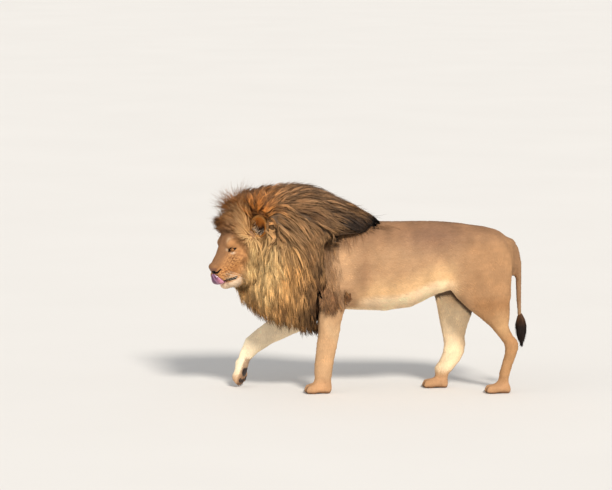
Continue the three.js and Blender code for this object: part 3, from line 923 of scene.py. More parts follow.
# ---------------------------------------------------------------- colours of the coat
def face_colours(points, base):
    """Markings of the face over the body's colour, and how bare each place is."""
    p = head_local(points)
    x, y, z = p.T
    near = ease(330, 270, y) * ease(-0.30, -0.45, points[:, 1]) * ease(-270, -225, z)
    c = laid(base, (182, 130, 84), near)
    bridge = ease(48, 24, x - 0.16 * (y - 60)) * ease(-38, -12, z - 0.5 * y)
    c = laid(c, (126, 91, 64), 0.85 * bridge * near)
    # the last mark is a painted shadow along the hairline
    c = marked(c, p, FACE_MARKS, near)
    # blotches of the whisker pads and under the eyes
    for place, size, wave, seed in FACE_BLOTCHES:
        patch, field = hump(p, place, size) * near, waves(p, wave, seed)
        c = laid(c, (92, 54, 30), 0.75 * patch, (field, 0.10, 0.60))
        c = laid(c, (238, 176, 108), 0.50 * patch, (field, -0.10, -0.60))
    c = laid(c, (222, 194, 164), near, (z, -101, -113), (y, 200, 130))
    # rows of dark dots where the whiskers grow
    c = marked(c, p, [((x, y, z), (7, 3.6, 3.6), (70, 42, 26), 0.6) for x, y, z in whisker_spots(1.5)], near)
    dark, black = (44, 27, 20), (18, 12, 10)
    q = eye_axes(p)
    ring = eye_opening(np.where(q[:, 2:3] > 0, p, p + 500))
    c = laid(c, black, near, (ring, 9.5, 5.0))
    corners = [rod(q, *line) for line in TEAR_LINES]
    c = laid(c, black, near, (np.min(corners, axis=0), 1.6, 0.2))
    c = laid(c, dark, 0.55 * hump(q, (4, 17, 14), (17, 3.2, 14)) * near)
    rim = np.min([rod(p * (0, 1, 1), a, b, 4.2, 4.6) for a, b in zip(LIP_EDGE, LIP_EDGE[1:])], axis=0)
    c = laid(c, black, near, (rim, 1.5, -0.5), (x, 20, 28))
    lip = lip_distance(p)
    c = laid(c, black, near, (lip, 3.0, 1.0))
    c = laid(c, dark, near, (rod(p, (0, 26, -26), (0, 26, -88), 3.0, 3.0), 2.0, 0.0))
    pad = np.maximum(egg(p, (0, 30, 4), (34, 24, 24)), z - 22 + 0.25 * x)
    c = laid(c, (128, 90, 68), near, (pad, 1.5, -1.5))
    c = laid(c, black, near, (nostril(p), 3.4, 1.0))
    return c, np.maximum(ease(1.5, -1.5, pad), ease(3.0, 0.5, lip)) * near


def whisker_spots(drift=0.0):
    """Places of the whiskers of one lip, in four rows of four; drift carries each next one outward."""
    return [(58 - 2 * row + drift * k, 46 + 15 * k + 3 * row, -30 - 11 * row) for row in range(4) for k in range(4)]


def paw_masks(points):
    """How far each point is sole, bare pad or gap between two toes; the gaps get painted shade."""
    soles, pads, gaps = (np.zeros(len(points)) for _ in range(3))
    # pads: sideways and lengthways place, half sizes, as shares of the paw's width and length
    spots = [(0, 0.47, 0.27, 0.15), (0.18, 0.50, 0.13, 0.12), (-0.18, 0.50, 0.13, 0.12)]
    spots += [(toe * TOE_WIDTH, 0.16 if abs(toe) < 1 else 0.22, 0.085, 0.085) for toe in TOES]
    for place, (length, width, height) in PAWS.values():
        p = into(place, points)
        x, y, z = p.T
        near = ease(0.05, 0.0, np.abs(y - 0.5 * length) - 0.5 * length) * ease(0.03, 0.0, np.abs(x) - width / 2)
        near = near * ease(0.02, 0.0, z - height * 1.2) * (z > -0.03)
        under = ease(0.30 * height, 0.14 * height, z) * near
        soles = np.maximum(soles, under * ease(1.0, 0.9, y / length))
        for middle, back, wide, long in spots:
            r = np.hypot((x / width - middle) / wide, (y / length - back) / long)
            pads = np.maximum(pads, under * ease(1.15, 0.90, r))
        # dark gaps between the toes: painted shade
        for k in (-1, 0, 1):
            gap = (k * width * TOE_WIDTH, 0.10 * length, 0.35 * height)
            gaps = np.maximum(gaps, hump(p, gap, (0.0060, 0.22 * length, 0.45 * height)) * near)
    return soles, pads, gaps


def body_colours(points, coat):
    """Colour of the short coat at any place, the same for skin and tufts, and how bare each place is."""
    x, y, z = points.T
    side = np.abs(x - MIDDLE)
    over = z - (0.615 + 0.10 * ease(0.15, 0.50, y) - 0.02 * ease(0.1, -0.1, y))
    under_top = 1.075 - 0.02 * ease(0.3, 0.0, y) - z
    # The upper back is darker: partly the coat's own darker back, partly painted shade.
    c = blend(np.array(coat.flank), coat.back, ease(0.20, 0.02, under_top) * 0.85)
    c = blend(c, coat.low, ease(0.17, 0.03, over) * ease(-0.10, 0.02, y) * ease(0.62, 0.50, y))
    pale = np.array(coat.belly) * (1.12, 1.14, 1.2)
    c = blend(c, pale, ease(0.035, -0.02, over) * ease(-0.10, 0.02, y) * ease(0.60, 0.46, y))
    c = laid(c, (112, 84, 62), 0.55, (np.abs(x + 0.02), 0.020, 0.004), (z, 1.02, 1.06), (y, 0.9, 0.7))
    c = laid(c, (166, 124, 86), 0.65, (y, 0.52, 0.70), (z, 0.45, 0.62), (z, 1.05, 0.90))
    # the first mark is painted shade in the hollow behind the shoulder
    c = marked(c, points, BODY_MARKS)
    leg = ease(0.60, 0.40, z)
    c = blend(c, coat.leg, leg)
    far_inner = ease(-0.30, -0.04, x) * ease(0.06, -0.02, x)
    near_inner = ease(0.07, 0.03, x) * ease(-0.04, 0.0, x)
    c = laid(c, (250, 224, 184), 0.95 * np.maximum(far_inner, near_inner), (z, 0.62, 0.50), (z, 0.08, 0.14))
    c = laid(c, (238, 204, 160), 0.35 * leg, (waves(points, (0.2, 0.2, 0.3), 11), 0.0, 1.0))
    # Painted light: the far foreleg is made pale cream, as if sunlit where the body shades it.
    c = laid(c, (252, 232, 198), 0.85, (x, -0.06, -0.10), (y, -0.36, -0.46), (z, 0.60, 0.50))
    thigh = ease(0.62, 0.72, y) * ease(0.66, 0.56, z) * ease(0.0, 0.05, x)
    c = c * (1 - np.array((0.18, 0.26, 0.36)) * thigh[:, None])
    loin = hump(points, (0.12, 0.42, 1.02), (0.16, 0.20, 0.12))
    c = c * (1 - np.array((0.22, 0.22, 0.12)) * loin[:, None])
    c = laid(c, (184, 140, 102), 0.8, (z, 0.12, 0.05))
    c = laid(c, (172, 126, 86), 0.6 * hump(points, (0.09, 0.93, 0.36), (0.05, 0.05, 0.10)))
    c = laid(c, (148, 114, 84), 0.9, (y, 0.89, 0.915), (z, 0.30, 0.34), (side, 0.05, 0.03))
    # deep shade where the far thigh passes under the flank fold
    arch = z - np.interp(y, *zip(*FLANK_ARCH))
    spans = ((arch, -0.036, -0.014), (arch, 0.12, 0.08), (x, 0.05, 0.02), (y, 0.41, 0.45), (y, 0.72, 0.67))
    c = laid(c, (52, 35, 25), 0.9, *spans)
    c = c * (1 + 0.07 * waves(points, (0.10, 0.14, 0.12), 3))[:, None]
    c = c * (1 + 0.05 * waves(points, (0.030, 0.06, 0.035), 4))[:, None]
    soles, pads, gaps = paw_masks(points)
    c = laid(c, (132, 96, 70), 0.75 * soles)
    # painted shade between the toes
    c = laid(c, (48, 32, 25), 0.85 * gaps)
    c = laid(c, (46, 36, 34), pads)
    c, bare = face_colours(points, c)
    return np.clip(c, 0, 1), np.maximum(bare, pads)


def body_lie(points):
    """Direction in which the short hair lies."""
    _, y, z = points.T
    lie = blend(np.array((0, 1, -0.35)), (0, 0.12, -1.0), ease(0.66, 0.48, z))
    lie = blend(lie, (0, 0.45, -0.9), ease(0.55, 0.75, y) * ease(1.08, 0.95, z))
    lie = blend(lie, (0, 0.05, -1.0), ease(0.90, 0.92, y) * ease(1.0, 0.9, z))
    p = into(HEAD, points)
    face = np.stack([0.35 * np.sign(p[:, 0]), np.ones(len(p)), np.where(p[:, 2] > 0.020, 0.35, -0.5)], axis=-1)
    face = unit(face @ np.array(HEAD)[:3, :3].T)
    lie = blend(lie, face, ease(-0.50, -0.60, y) * ease(0.50, 0.60, z))
    return unit(blend(lie, (0, -0.9, -0.25), ease(0.10, 0.06, z)))


def along_surface(direction, normal):
    return unit(direction - normal * (direction * normal).sum(-1, keepdims=True))


# ---------------------------------------------------------------- the skin
def skin_forms():
    """Copies of the flesh and rounded masses of head and paws, joined as one closed mesh."""
    things = [cad_copy(name, "flesh") for name in ("trunk", "neck", "tail", *LEG_NODES)]
    for centre, size, turn, _ in HEAD_FORMS.values():
        for side in (1, -1) if centre[0] else (1,):
            turned = (turn[0], side * turn[1], side * turn[2])
            things.append(add_egg(HEAD_MM, (side * centre[0], *centre[1:]), size, turned))
    for place, size in PAWS.values():
        things += [add_egg(place, centre, half) for centre, half in toe_forms(size)]
    return join_objects(things, "skin")


def refine(mesh, wanted):
    """Halves the faces whose points are all wanted."""
    bm = bmesh.new()
    bm.from_mesh(mesh)
    bm.verts.ensure_lookup_table()
    edges = [e for e in bm.edges if wanted[e.verts[0].index] and wanted[e.verts[1].index]]
    bmesh.ops.subdivide_edges(bm, edges=edges, cuts=1, use_grid_fill=True)
    bm.to_mesh(mesh)
    bm.free()


def face_area(points, far=300):
    """True on the head, as far back from the nose as the given millimetres."""
    p = head_local(points)
    return (p[:, 1] < far) & (p[:, 0] < 150) & (p[:, 2] > -200) & (p[:, 2] < 170) & (points[:, 1] < -0.6)


def paw_area(points, leg, margin=0.0):
    """True on one paw's front part."""
    place, (length, width, height) = PAWS[leg]
    p = into(place, points)
    ahead = (p[:, 1] > -0.05) & (p[:, 1] < length * 0.78 + margin)
    return ahead & (np.abs(p[:, 0]) < width * 0.62) & (p[:, 2] > -0.05) & (p[:, 2] < height * 1.3)


def settle_head(points):
    """Head points moved onto its form; the back of the head blends into the neck."""
    local = into(HEAD, points) * 1000
    weight = ease(330, 250, local[:, 1]) * ease(-215, -165, local[:, 2]) * (points[:, 1] < -0.5)
    pick = weight > 0
    folded = local[pick]
    side = np.sign(folded[:, 0])
    folded[:, 0] = np.abs(folded[:, 0])
    moved = settle(folded, head_form, 5, 6.0)
    moved[:, 0] *= side
    result = points.copy()
    result[pick] = blend(points[pick], out_of(HEAD, moved * MM), weight[pick])
    return result


def settle_paws(points):
    """Paw points moved onto their forms; the wrists blend into the legs."""
    result = points.copy()
    for leg, (place, size) in PAWS.items():
        local = into(place, points)
        weight = ease(0.86, 0.62, local[:, 1] / size[0]) * paw_area(points, leg, 0.03)
        pick = weight > 0
        moved = settle(local[pick], lambda p: paw_form(p, size, leg != RAISED), 4, 0.006)
        result[pick] = blend(points[pick], out_of(place, moved), weight[pick])
    return result


def muscle_push(points):
    """Outward move of each point by the muscles and hollows of both sides."""
    push = np.zeros(len(points))
    for centre, size, amount in MUSCLES.values():
        for side in (1, -1):
            push = push + amount * hump(points, (side * centre[0] + MIDDLE, *centre[1:]), size)
    return push


def refine_details(mesh):
    """Finer faces over the head and paws, and finer again at the eyes and nose."""
    refine(mesh, face_area(points_of(mesh)))
    points = points_of(mesh)
    refine(mesh, face_area(points, 250) | np.any([paw_area(points, leg) for leg in PAWS], axis=0))
    points = points_of(mesh)
    p = head_local(points)
    nose = (p[:, 1] < 44) & (p[:, 2] > -60) & (points[:, 1] < -0.8)
    refine(mesh, nose | (np.linalg.norm(p - EYE, axis=1) < 44))


def build_skin(coat):
    """The frame's flesh as one even skin, with muscles, and with the forms of head and paws."""
    thing = skin_forms()
    apply_modifier(thing, "REMESH", mode="VOXEL", voxel_size=coat.voxel, adaptivity=0)
    mesh = thing.data
    points, edges = points_of(mesh), edges_of(mesh)
    _, y, z = points.T
    head = ease(-0.55, -0.65, y) * ease(0.55, 0.62, z)
    foot = ease(0.12, 0.07, z)
    trunk = ease(0.45, 0.62, z) * (1 - head) * ease(0.93, 0.89, y)
    points = relax(points, edges, 26, 0.5 * (1 - 0.85 * foot) * (1 - 0.8 * head), 1.03)
    points = relax(points, edges, 26, 0.5 * trunk)
    wrist = within(into(PAWS[RAISED][0], points), (0, 0.215, 0.03), (0.09, 0.07, 0.10))
    points = relax(points, edges, 70, 0.6 * wrist)
    place_points(mesh, points)
    under_coat = (coat.depth - 0.003 * ease(0.3, 0.1, z)) * (1 - head) * (1 - foot)
    place_points(mesh, points + normals_of(mesh) * (muscle_push(points) - under_coat)[:, None])
    refine_details(mesh)
    points, edges = points_of(mesh), edges_of(mesh)
    fine = face_area(points, 330).astype(float)
    for times in (6, 2):
        points = settle_head(settle_paws(points))
        points = relax(points, edges, times, 0.35 * fine)
    points = settle_head(points)
    for leg, (place, _) in PAWS.items():
        if leg != RAISED:
            local = into(place, points)
            instep = within(local, (0, 0.070, 0.080), (0.09, 0.052, 0.036))
            heel = within(local, (0, 0.182, 0.050), (0.08, 0.034, 0.045))
            points = relax(points, edges, 60, 0.6 * np.maximum(instep, heel))
    place_points(mesh, points)
    apply_modifier(thing, "TRIANGULATE")
    smooth_faces(mesh)
    return thing


# ---------------------------------------------------------------- the mane
def mane_field(points):
    """Lie, length, depth and colours of the mane at any place, by its named places."""
    x = np.abs(points[:, 0] - mane_middle(points))
    p = np.stack([x, points[:, 1], points[:, 2]], axis=-1)
    rows = [
        (place, (0, *lie), length, depth, linear(*MANE_COLOURS[root]), linear(*MANE_COLOURS[tip]))
        for place, lie, length, depth, root, tip in MANE_LIE.values()
    ]
    places, *columns = (np.array(column) for column in zip(*rows))
    distance = np.linalg.norm((p[:, None] - places[None]) * (0.7, 1, 1), axis=-1)
    weight = 1 / (distance**3 + 1e-5)
    weight = weight / weight.sum(1, keepdims=True)
    lie, length, depth, root, tip = (weight @ column for column in columns)
    return unit(lie), length, depth, root, tip


def mane_middle(points):
    """Sideways place of the neck's middle: the head is turned to the left."""
    return MIDDLE + 0.10 * ease(-0.45, -0.95, points[:, 1])


def mane_edge(points):
    """Metres behind the mane's rear edge on the shoulder, where bare coat shows."""
    x = np.abs(points[:, 0] - mane_middle(points))
    z = points[:, 2]
    line = np.interp(z, *zip(*MANE_REAR)) + 0.008 * np.sin(z * 70) + 0.006 * np.sin(z * 33 + 1)
    return points[:, 1] - line - 0.4 * ease(0.09, 0.05, x) * (z > 0.95)


def prism(matrix, outline, near, far):
    """A solid with one outline in its own back-and-up plane, between two sideways places."""
    count = len(outline)
    verts = [(x, y, z) for x in (near, far) for y, z in outline]
    faces = [tuple(range(count)), tuple(range(2 * count - 1, count - 1, -1))]
    faces += [(k, k + count, (k + 1) % count + count, (k + 1) % count) for k in range(count)]
    thing = new_object("cutter", out_of(matrix, np.array(verts, float)).tolist(), faces)
    face_outward(thing)
    return thing


def mane_hull():
    """The mass of the mane: the frame's form with room for the ears, the face and the bare shoulder."""
    world = Matrix.Identity(4)
    parts = [cad_copy("mane", "mane_form")]
    parts += [add_egg(HEAD_MM, (side * 160, 370, 110), (105, 90, 120)) for side in (1, -1)]
    thing = join_objects(parts, "mane_form")
    apply_modifier(thing, "REMESH", mode="VOXEL", voxel_size=0.011, adaptivity=0)
    place_points(thing.data, relax(points_of(thing.data), edges_of(thing.data), 14, 0.5, 1.02))
    cutters = [prism(HEAD_MM, FACE_ROOM, -420, 420), prism(world, CHEST_ROOM, -0.5, 0.5)]
    for side in (1, -1):
        cutters.append(prism(world, SHOULDER_ROOM, *sorted((side * 0.5 + MIDDLE, side * 0.075 + MIDDLE))))
    cutters += [add_egg(ear_frame(side), (0.002, -0.090, 0.020), (0.070, 0.112, 0.086)) for side in (1, -1)]
    for cutter in cutters:
        apply_modifier(thing, "BOOLEAN", operation="DIFFERENCE", solver="FAST", object=cutter)
        bpy.data.objects.remove(cutter)
    apply_modifier(thing, "REMESH", mode="VOXEL", voxel_size=0.009, adaptivity=0)
    place_points(thing.data, relax(points_of(thing.data), edges_of(thing.data), 5, 0.5))
    return thing


def comb(surface, starts, normals, lengths, depths, rng):
    """Paths of bunches of hair along the mane, from their roots to the outline."""
    steps, count = 9, len(starts)
    q, n = starts.copy(), normals.copy()
    lengths = lengths * rng.uniform(0.75, 1.2, count)
    tip = rng.uniform(-0.012, 0.008, count) + depths * rng.uniform(-0.1, 0.28, count) * (depths > 0.045)
    jitter = rng.normal(0, 0.17, (count, 3))
    path, outs = [], []
    moving = np.ones(count, bool)
    for i in range(steps + 1):
        s = i / steps
        height = -depths + (depths + tip) * (1 - (1 - s) ** 2.2)
        path.append(q + n * height[:, None])
        outs.append(n)
        if i == steps:
            break
        shoulder = ease(-0.10, -0.015, mane_edge(q)) * (q[:, 2] < 1.02)
        way = unit(blend(mane_field(q)[0], (0, 0.26, -1.0), shoulder) + jitter + np.array((0, 0, -0.25 * s)))
        way = unit(0.75 * along_surface(way, n) + 0.25 * way)
        step = (lengths / steps)[:, None]
        near, near_n, _, _ = surface.nearest(q + way * step)
        # a bunch leaves the surface at an edge, or where it would turn under the chest, and hangs from there
        gone = np.linalg.norm(near - q, axis=1)
        moving &= (gone > 0.35 * step[:, 0]) & ((near_n * n).sum(1) > 0.45)
        moving &= ~((near_n[:, 2] < -0.30) & (near[:, 2] < 0.64))
        q = np.where(moving[:, None], near, q + unit(way + np.array((0, 0, -0.8))) * step * 0.7)
        n = np.where(moving[:, None], unit(0.6 * near_n + 0.4 * n), n)
    return np.stack(path, axis=1), np.stack(outs, axis=1)


def resample(path, outs, stations):
    """Equal steps along each path; stations is (hairs, n) between 0 and 1."""
    seg = np.linalg.norm(np.diff(path, axis=1), axis=-1)
    run = np.concatenate([np.zeros((len(path), 1)), np.cumsum(seg, axis=1)], axis=1)
    run = run / np.maximum(run[:, -1:], 1e-9)
    last = path.shape[1] - 2
    index = np.clip((run[:, None, :] <= stations[:, :, None]).sum(-1) - 1, 0, last)
    rows = np.arange(len(path))[:, None]
    a, b = run[rows, index], run[rows, index + 1]
    t = np.clip((stations - a) / np.maximum(b - a, 1e-9), 0, 1)[..., None]
    place = path[rows, index] * (1 - t) + path[rows, index + 1] * t
    out = unit(outs[rows, index] * (1 - t) + outs[rows, index + 1] * t)
    return place, out


def tangents(path):
    return unit(np.gradient(path, axis=1))


def lock_bunches(path, outs, per, width, spread, rng):
    """Locks that start apart and draw together toward each bunch's tip."""
    rings = 4
    bunch = np.repeat(np.arange(len(path)), per)
    count = len(bunch)
    reach = rng.uniform(0.62, 1.0, count)
    s = along(rings)
    place, out = resample(path[bunch], outs[bunch], s[:, :, 0] * reach[:, None])
    across = unit(np.cross(tangents(place), out))
    angle = rng.uniform(0, 6.28, count)
    radius = spread[bunch] * np.sqrt(rng.random(count))
    side = (np.cos(angle) * radius)[:, None, None]
    lift = (np.sin(angle) * radius * 0.35)[:, None, None]
    draw = 1 - 0.72 * s**1.3
    wave = np.sin(s * rng.uniform(3, 8, (count, 1, 1)) + rng.uniform(0, 6.28, (count, 1, 1))) * s
    swing = rng.normal(0, 0.0035, (count, 1, 1)) * wave * 1.6
    stray = rng.normal(0, 0.006, (count, 1, 1)) * s**2
    place = place + across * (side * draw + swing + stray) + out * (lift * draw + rng.normal(0, 0.002, (count, 1, 1)))
    across = unit(np.cross(tangents(place), out))
    widths = width * rng.uniform(0.6, 1.3, (count, 1)) * np.array([[0.75, 1.0, 0.92, 0.62, 0.0]])
    verts, faces = strands(place, across, out, widths, widths * 0.42)
    return verts, faces, bunch, reach


def lock_tones(verts, bunch, root, tip, rng, reach, bunch_tone):
    """Root-to-tip colours of locks, with light and dark bunches and single hairs, and painted shade at the roots."""
    rings = (verts.shape[1] - 1) // 3
    ring = np.minimum(np.arange(verts.shape[1]) // 3, rings) / rings
    s = ring[None] * reach[:, None]
    t = ease(0.30, 0.95, s)[..., None]
    c = root[bunch][:, None] * (1 - t) + tip[bunch][:, None] * t
    # Painted shade: the roots are darkened to half, coming to full tone about a third of the way along.
    c = c * (0.50 + 0.50 * ease(0.0, 0.35, s)[..., None])
    tone = bunch_tone[bunch] * rng.uniform(0.70, 1.25, len(bunch))
    c = c * tone[:, None, None]
    return c / np.maximum(1, c.max(-1, keepdims=True))


def lift_off(path, body, gap):
    """Path points moved out of the body, and a little above it."""
    flat = path.reshape(-1, 3)
    place, normal, _, _ = body.nearest(flat)
    height = ((flat - place) * normal).sum(1)
    close = np.linalg.norm(flat - place, axis=1) < 0.10
    raised = np.where(((height < gap) & close)[:, None], place + normal * gap, flat)
    return raised.reshape(path.shape)


def gather(path, starts, amount, count, rng):
    """Draws the tips of neighbouring bunches together, which leaves gaps between wisps."""
    centres = rng.choice(len(starts), count, replace=False)
    tree = KDTree(count)
    for i, c in enumerate(centres):
        tree.insert(starts[c], i)
    tree.balance()
    own = centres[[tree.find(p)[1] for p in starts.tolist()]]
    return path + (path[own] - path) * amount * along(path.shape[1] - 1) ** 1.3


# ---------------------------------------------------------------- operators
def finish_piece(thing, material, slot, *nodes):
    thing.data.materials.clear()
    thing.data.materials.append(material)
    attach(thing, "root")
    if nodes:
        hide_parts(*nodes)


def hair_pieces(name, verts, faces, tones, roots, out, soft, material, slot):
    """Hair in as many pieces as its faces need."""
    pieces = -(-len(verts) * len(faces) // PIECE_FACES)
    for i in range(pieces):
        pick = slice(i, None, pieces)
        hair = hair_object(f"{name}_{i + 1}", verts[pick], faces, tones[pick], roots[pick], out[pick][:, None], soft)
        finish_piece(hair, material, slot)


def skin_roots():
    """The finished skin's surface, and its flat map."""
    skin = bpy.data.objects["skin"]
    return Surface(skin.data), Unwrap(skin, MAP_FACES)


SUNS = (
    # name, way to it, strength, softness in degrees, colour
    ("key", (0.78, 0.30, 0.72), 3.3, 12, (1.0, 0.955, 0.89)),
    ("fill", (0.35, -0.9, 0.45), 0.55, 60, (1.0, 0.97, 0.94)),
)


class LION_OT_stage(bpy.types.Operator):
    """Floor, soft light and camera"""

    bl_idname = "lion.stage"
    bl_label = "Stage"

    def execute(self, context):
        deselect()
        bpy.ops.mesh.primitive_circle_add(vertices=64, radius=160, fill_type="NGON", location=(0, 0, 0))
        floor = context.object
        floor.name = "studio_floor"
        floor.data.materials.append(floor_material())
        scene = context.scene
        camera = linked("camera", bpy.data.cameras.new("camera"))
        camera.data.sensor_width, camera.data.lens, camera.data.clip_end = 36, 184.7, 400
        rise, distance = math.radians(7), 20
        back = Vector((math.cos(rise), 0, math.sin(rise)))
        camera.location = Vector((MIDDLE, -0.389, 0.936)) + back * distance
        camera.rotation_euler = (-back).to_track_quat("-Z", "Y").to_euler()
        scene.camera = camera
        world = bpy.data.worlds.new("studio")
        world.use_nodes = True
        sky = world.node_tree.nodes["Background"].inputs
        sky["Color"].default_value, sky["Strength"].default_value = (0.93, 0.96, 1.0, 1), 0.55
        scene.world = world
        for name, way, energy, spread, colour in SUNS:
            light = bpy.data.lights.new(name, "SUN")
            light.energy, light.angle, light.color = energy, math.radians(spread), colour
            linked(name, light).rotation_euler = Vector(way).to_track_quat("Z", "Y").to_euler()
        scene.view_settings.view_transform = "Standard"
        return {"FINISHED"}


SIDES = ((1, "left"), (-1, "right"))


class LION_OT_skin(bpy.types.Operator):
    """One skin over head, neck, trunk, legs and tail"""

    bl_idname = "lion.skin"
    bl_label = "Skin"

    def execute(self, context):
        coat = context.scene.lion_coat
        skin = build_skin(coat)
        points = points_of(skin.data)
        colours, bare = body_colours(points, coat)
        set_colours(skin.data, "coat", colours)
        set_value(skin.data, "bare", bare)
        _, y, z = points.T
        set_value(skin.data, "leg lie", np.maximum(ease(0.66, 0.48, z), 0.5 * ease(0.55, 0.75, y)))
        nodes = ("trunk", "neck", "head", "jaw", "nose", "tail", *LEG_NODES)
        finish_piece(skin, skin_material(), "coat", *nodes)
        return {"FINISHED"}


class LION_OT_eyes(bpy.types.Operator):
    """Eyeballs with a clear bulge in front"""

    bl_idname = "lion.eyes"
    bl_label = "Eyes"

    def execute(self, context):
        radius = EYE_RADIUS * MM
        for side, name in SIDES:
            mirror = Vector((side, 1, 1))
            centre = HEAD @ (Vector(EYE) * mirror * MM)
            gaze = (HEAD.to_3x3() @ (Vector(GAZE) * mirror)).normalized()
            eye = new_ball(48, 32, radius)
            eye.name = eye.data.name = f"eyeball_{name}"
            turn = Vector((0, 0, 1)).rotation_difference(gaze).to_matrix().to_4x4()
            for v in eye.data.vertices:
                front = max(0.0, (v.co.z / radius - 0.80) / 0.20)
                v.co *= 1 + 0.07 * front**1.5
            eye.data.transform(Matrix.Translation(centre) @ turn)
            smooth_faces(eye.data)
            finish_piece(eye, eye_material(tuple(centre), tuple(gaze)), "eye", f"eye_{name}")
        return {"FINISHED"}


class LION_OT_ears(bpy.types.Operator):
    """Round cupped ears with a thick rim"""

    bl_idname = "lion.ears"
    bl_label = "Ears"

    def execute(self, context):
        material = skin_material()
        for side, name in SIDES:
            ear = new_ball(56, 36)
            ear.name = ear.data.name = f"ear_{name}_shell"
            p = ear_shape(points_of(ear.data))
            place_points(ear.data, out_of(ear_frame(side), p * MM))
            if side < 0:
                ear.data.flip_normals()
            smooth_faces(ear.data)
            set_colours(ear.data, "coat", ear_colours(p))
            set_value(ear.data, "bare", np.zeros(len(p)))
            set_value(ear.data, "leg lie", np.ones(len(p)))
            finish_piece(ear, material, "ear", f"ear_{name}")
        return {"FINISHED"}


def ear_frame(side):
    """Axes of an ear: out along its width, back, and up to its tip. The right one is a mirror image."""
    local = Matrix.Translation(Vector(EAR_PLACE) * MM)
    for degrees, axis in ((30, "Z"), (-12, "X"), (24, "Y")):
        local = local @ Matrix.Rotation(math.radians(degrees), 4, axis)
    return HEAD @ Matrix.Diagonal((side, 1, 1, 1)) @ local


def ear_shape(p):
    """A ball pressed into a cup: hollow front, thick soft rim and round back."""
    x, y, z = p.T
    r = np.hypot(x, z)
    width = EAR_WIDTH * (1 - 0.12 * ease(0.0, -1.0, z))
    cup = -8 + 28 * (1 - ease(0.15, 0.92, r))
    shell = 4 + 27 * np.sqrt(np.clip(1 - 0.92 * r**2, 0.0, 1))
    rim = ease(0.86, 1.0, r)
    depth = np.where(y > 0, shell, cup) * (1 - rim) + (y * 8 - 2) * rim
    return np.stack([x * width, depth, z * EAR_HEIGHT], axis=-1)


def ear_radius(p):
    """0 at the middle of an ear, 1 at its rim."""
    return np.hypot(p[:, 0] / EAR_WIDTH, p[:, 2] / EAR_HEIGHT)


def ear_colours(p):
    """Orange cup with a dark depth and a pale rim; black back with a tan root."""
    r = ear_radius(p)
    cup = np.tile(linear(190, 118, 50), (len(p), 1))
    cup = laid(cup, (58, 36, 24), 0.9 * hump(p[:, ::2], (6, -26), (26, 34)))
    cup = laid(cup, (224, 164, 96), 0.9, (r, 0.80, 0.95))
    outer = laid(np.tile(linear(20, 15, 13), (len(p), 1)), (176, 126, 76), 1, (p[:, 2], -40, -70))
    behind = (p[:, 1] > 3.0) & ((r > 0.8) | (p[:, 1] > 22))
    return np.where(behind[:, None], outer, cup)


def arcs(starts, out, lie, length, raise_by, rings):
    """Hairs that leave the surface at a slant and bend over to their lie."""
    s = along(rings)
    rise = (out * raise_by[:, None])[:, None] * length[:, None, None] * (s - 0.55 * s**2) * 1.6
    return starts[:, None] + lie[:, None] * length[:, None, None] * (s * (0.55 + 0.45 * s)) + rise


def hair_tones(verts, root, tip, rng, spread=0.22):
    """Root-to-tip colours of single hairs, each a little lighter or darker."""
    rings = (verts.shape[1] - 1) // 3
    t = ease(0.1, 0.85, np.minimum(np.arange(verts.shape[1]) // 3, rings) / rings)[None, :, None]
    c = np.atleast_2d(root)[:, None] * (1 - t) + np.atleast_2d(tip)[:, None] * t
    return np.clip(c * rng.uniform(1 - spread, 1 + spread, (len(verts), 1, 1)), 0, 1)


# Hairs of an ear: number, length, lie in the ear's axes, rise, root and tip colours, width.
EAR_HAIR = {
    "depth of the cup": (260, 0.030, (-0.35, -0.4, 0.8), 0.35, (46, 29, 20), (70, 46, 30), 0.0026),
    "pale wisps": (60, 0.034, (0.3, -0.4, 0.8), 0.4, (190, 160, 130), (236, 214, 186), 0.0020),
    "rim": (420, 0.015, None, 0.15, (186, 118, 52), (214, 152, 84), 0.0024),
    "inner rim": (300, 0.030, (0.65, -0.35, 0.45), 0.3, (200, 140, 80), (226, 176, 116), 0.0024),
    "back": (800, 0.018, (0.3, 0.9, -0.1), 0.10, (24, 18, 15), (16, 12, 11), 0.0034),
}


def ear_hair_areas(p):
    """Where each kind of ear hair grows; p is in the ear's axes, in millimetres."""
    x, y, z = p.T
    r, front = ear_radius(p), y < 16
    cup = front * (r < 0.70)
    return {
        "depth of the cup": cup * np.exp(-(((z + 30) / 30) ** 2)),
        "pale wisps": cup * np.exp(-(((z + 40) / 24) ** 2)),
        "rim": front * (r > 0.55) * (r < 0.97),
        "inner rim": front * (r > 0.70) * (x < 10) * (z < 30),
        "back": (y > 10) * (r > 0.60) * (z > -50),
    }


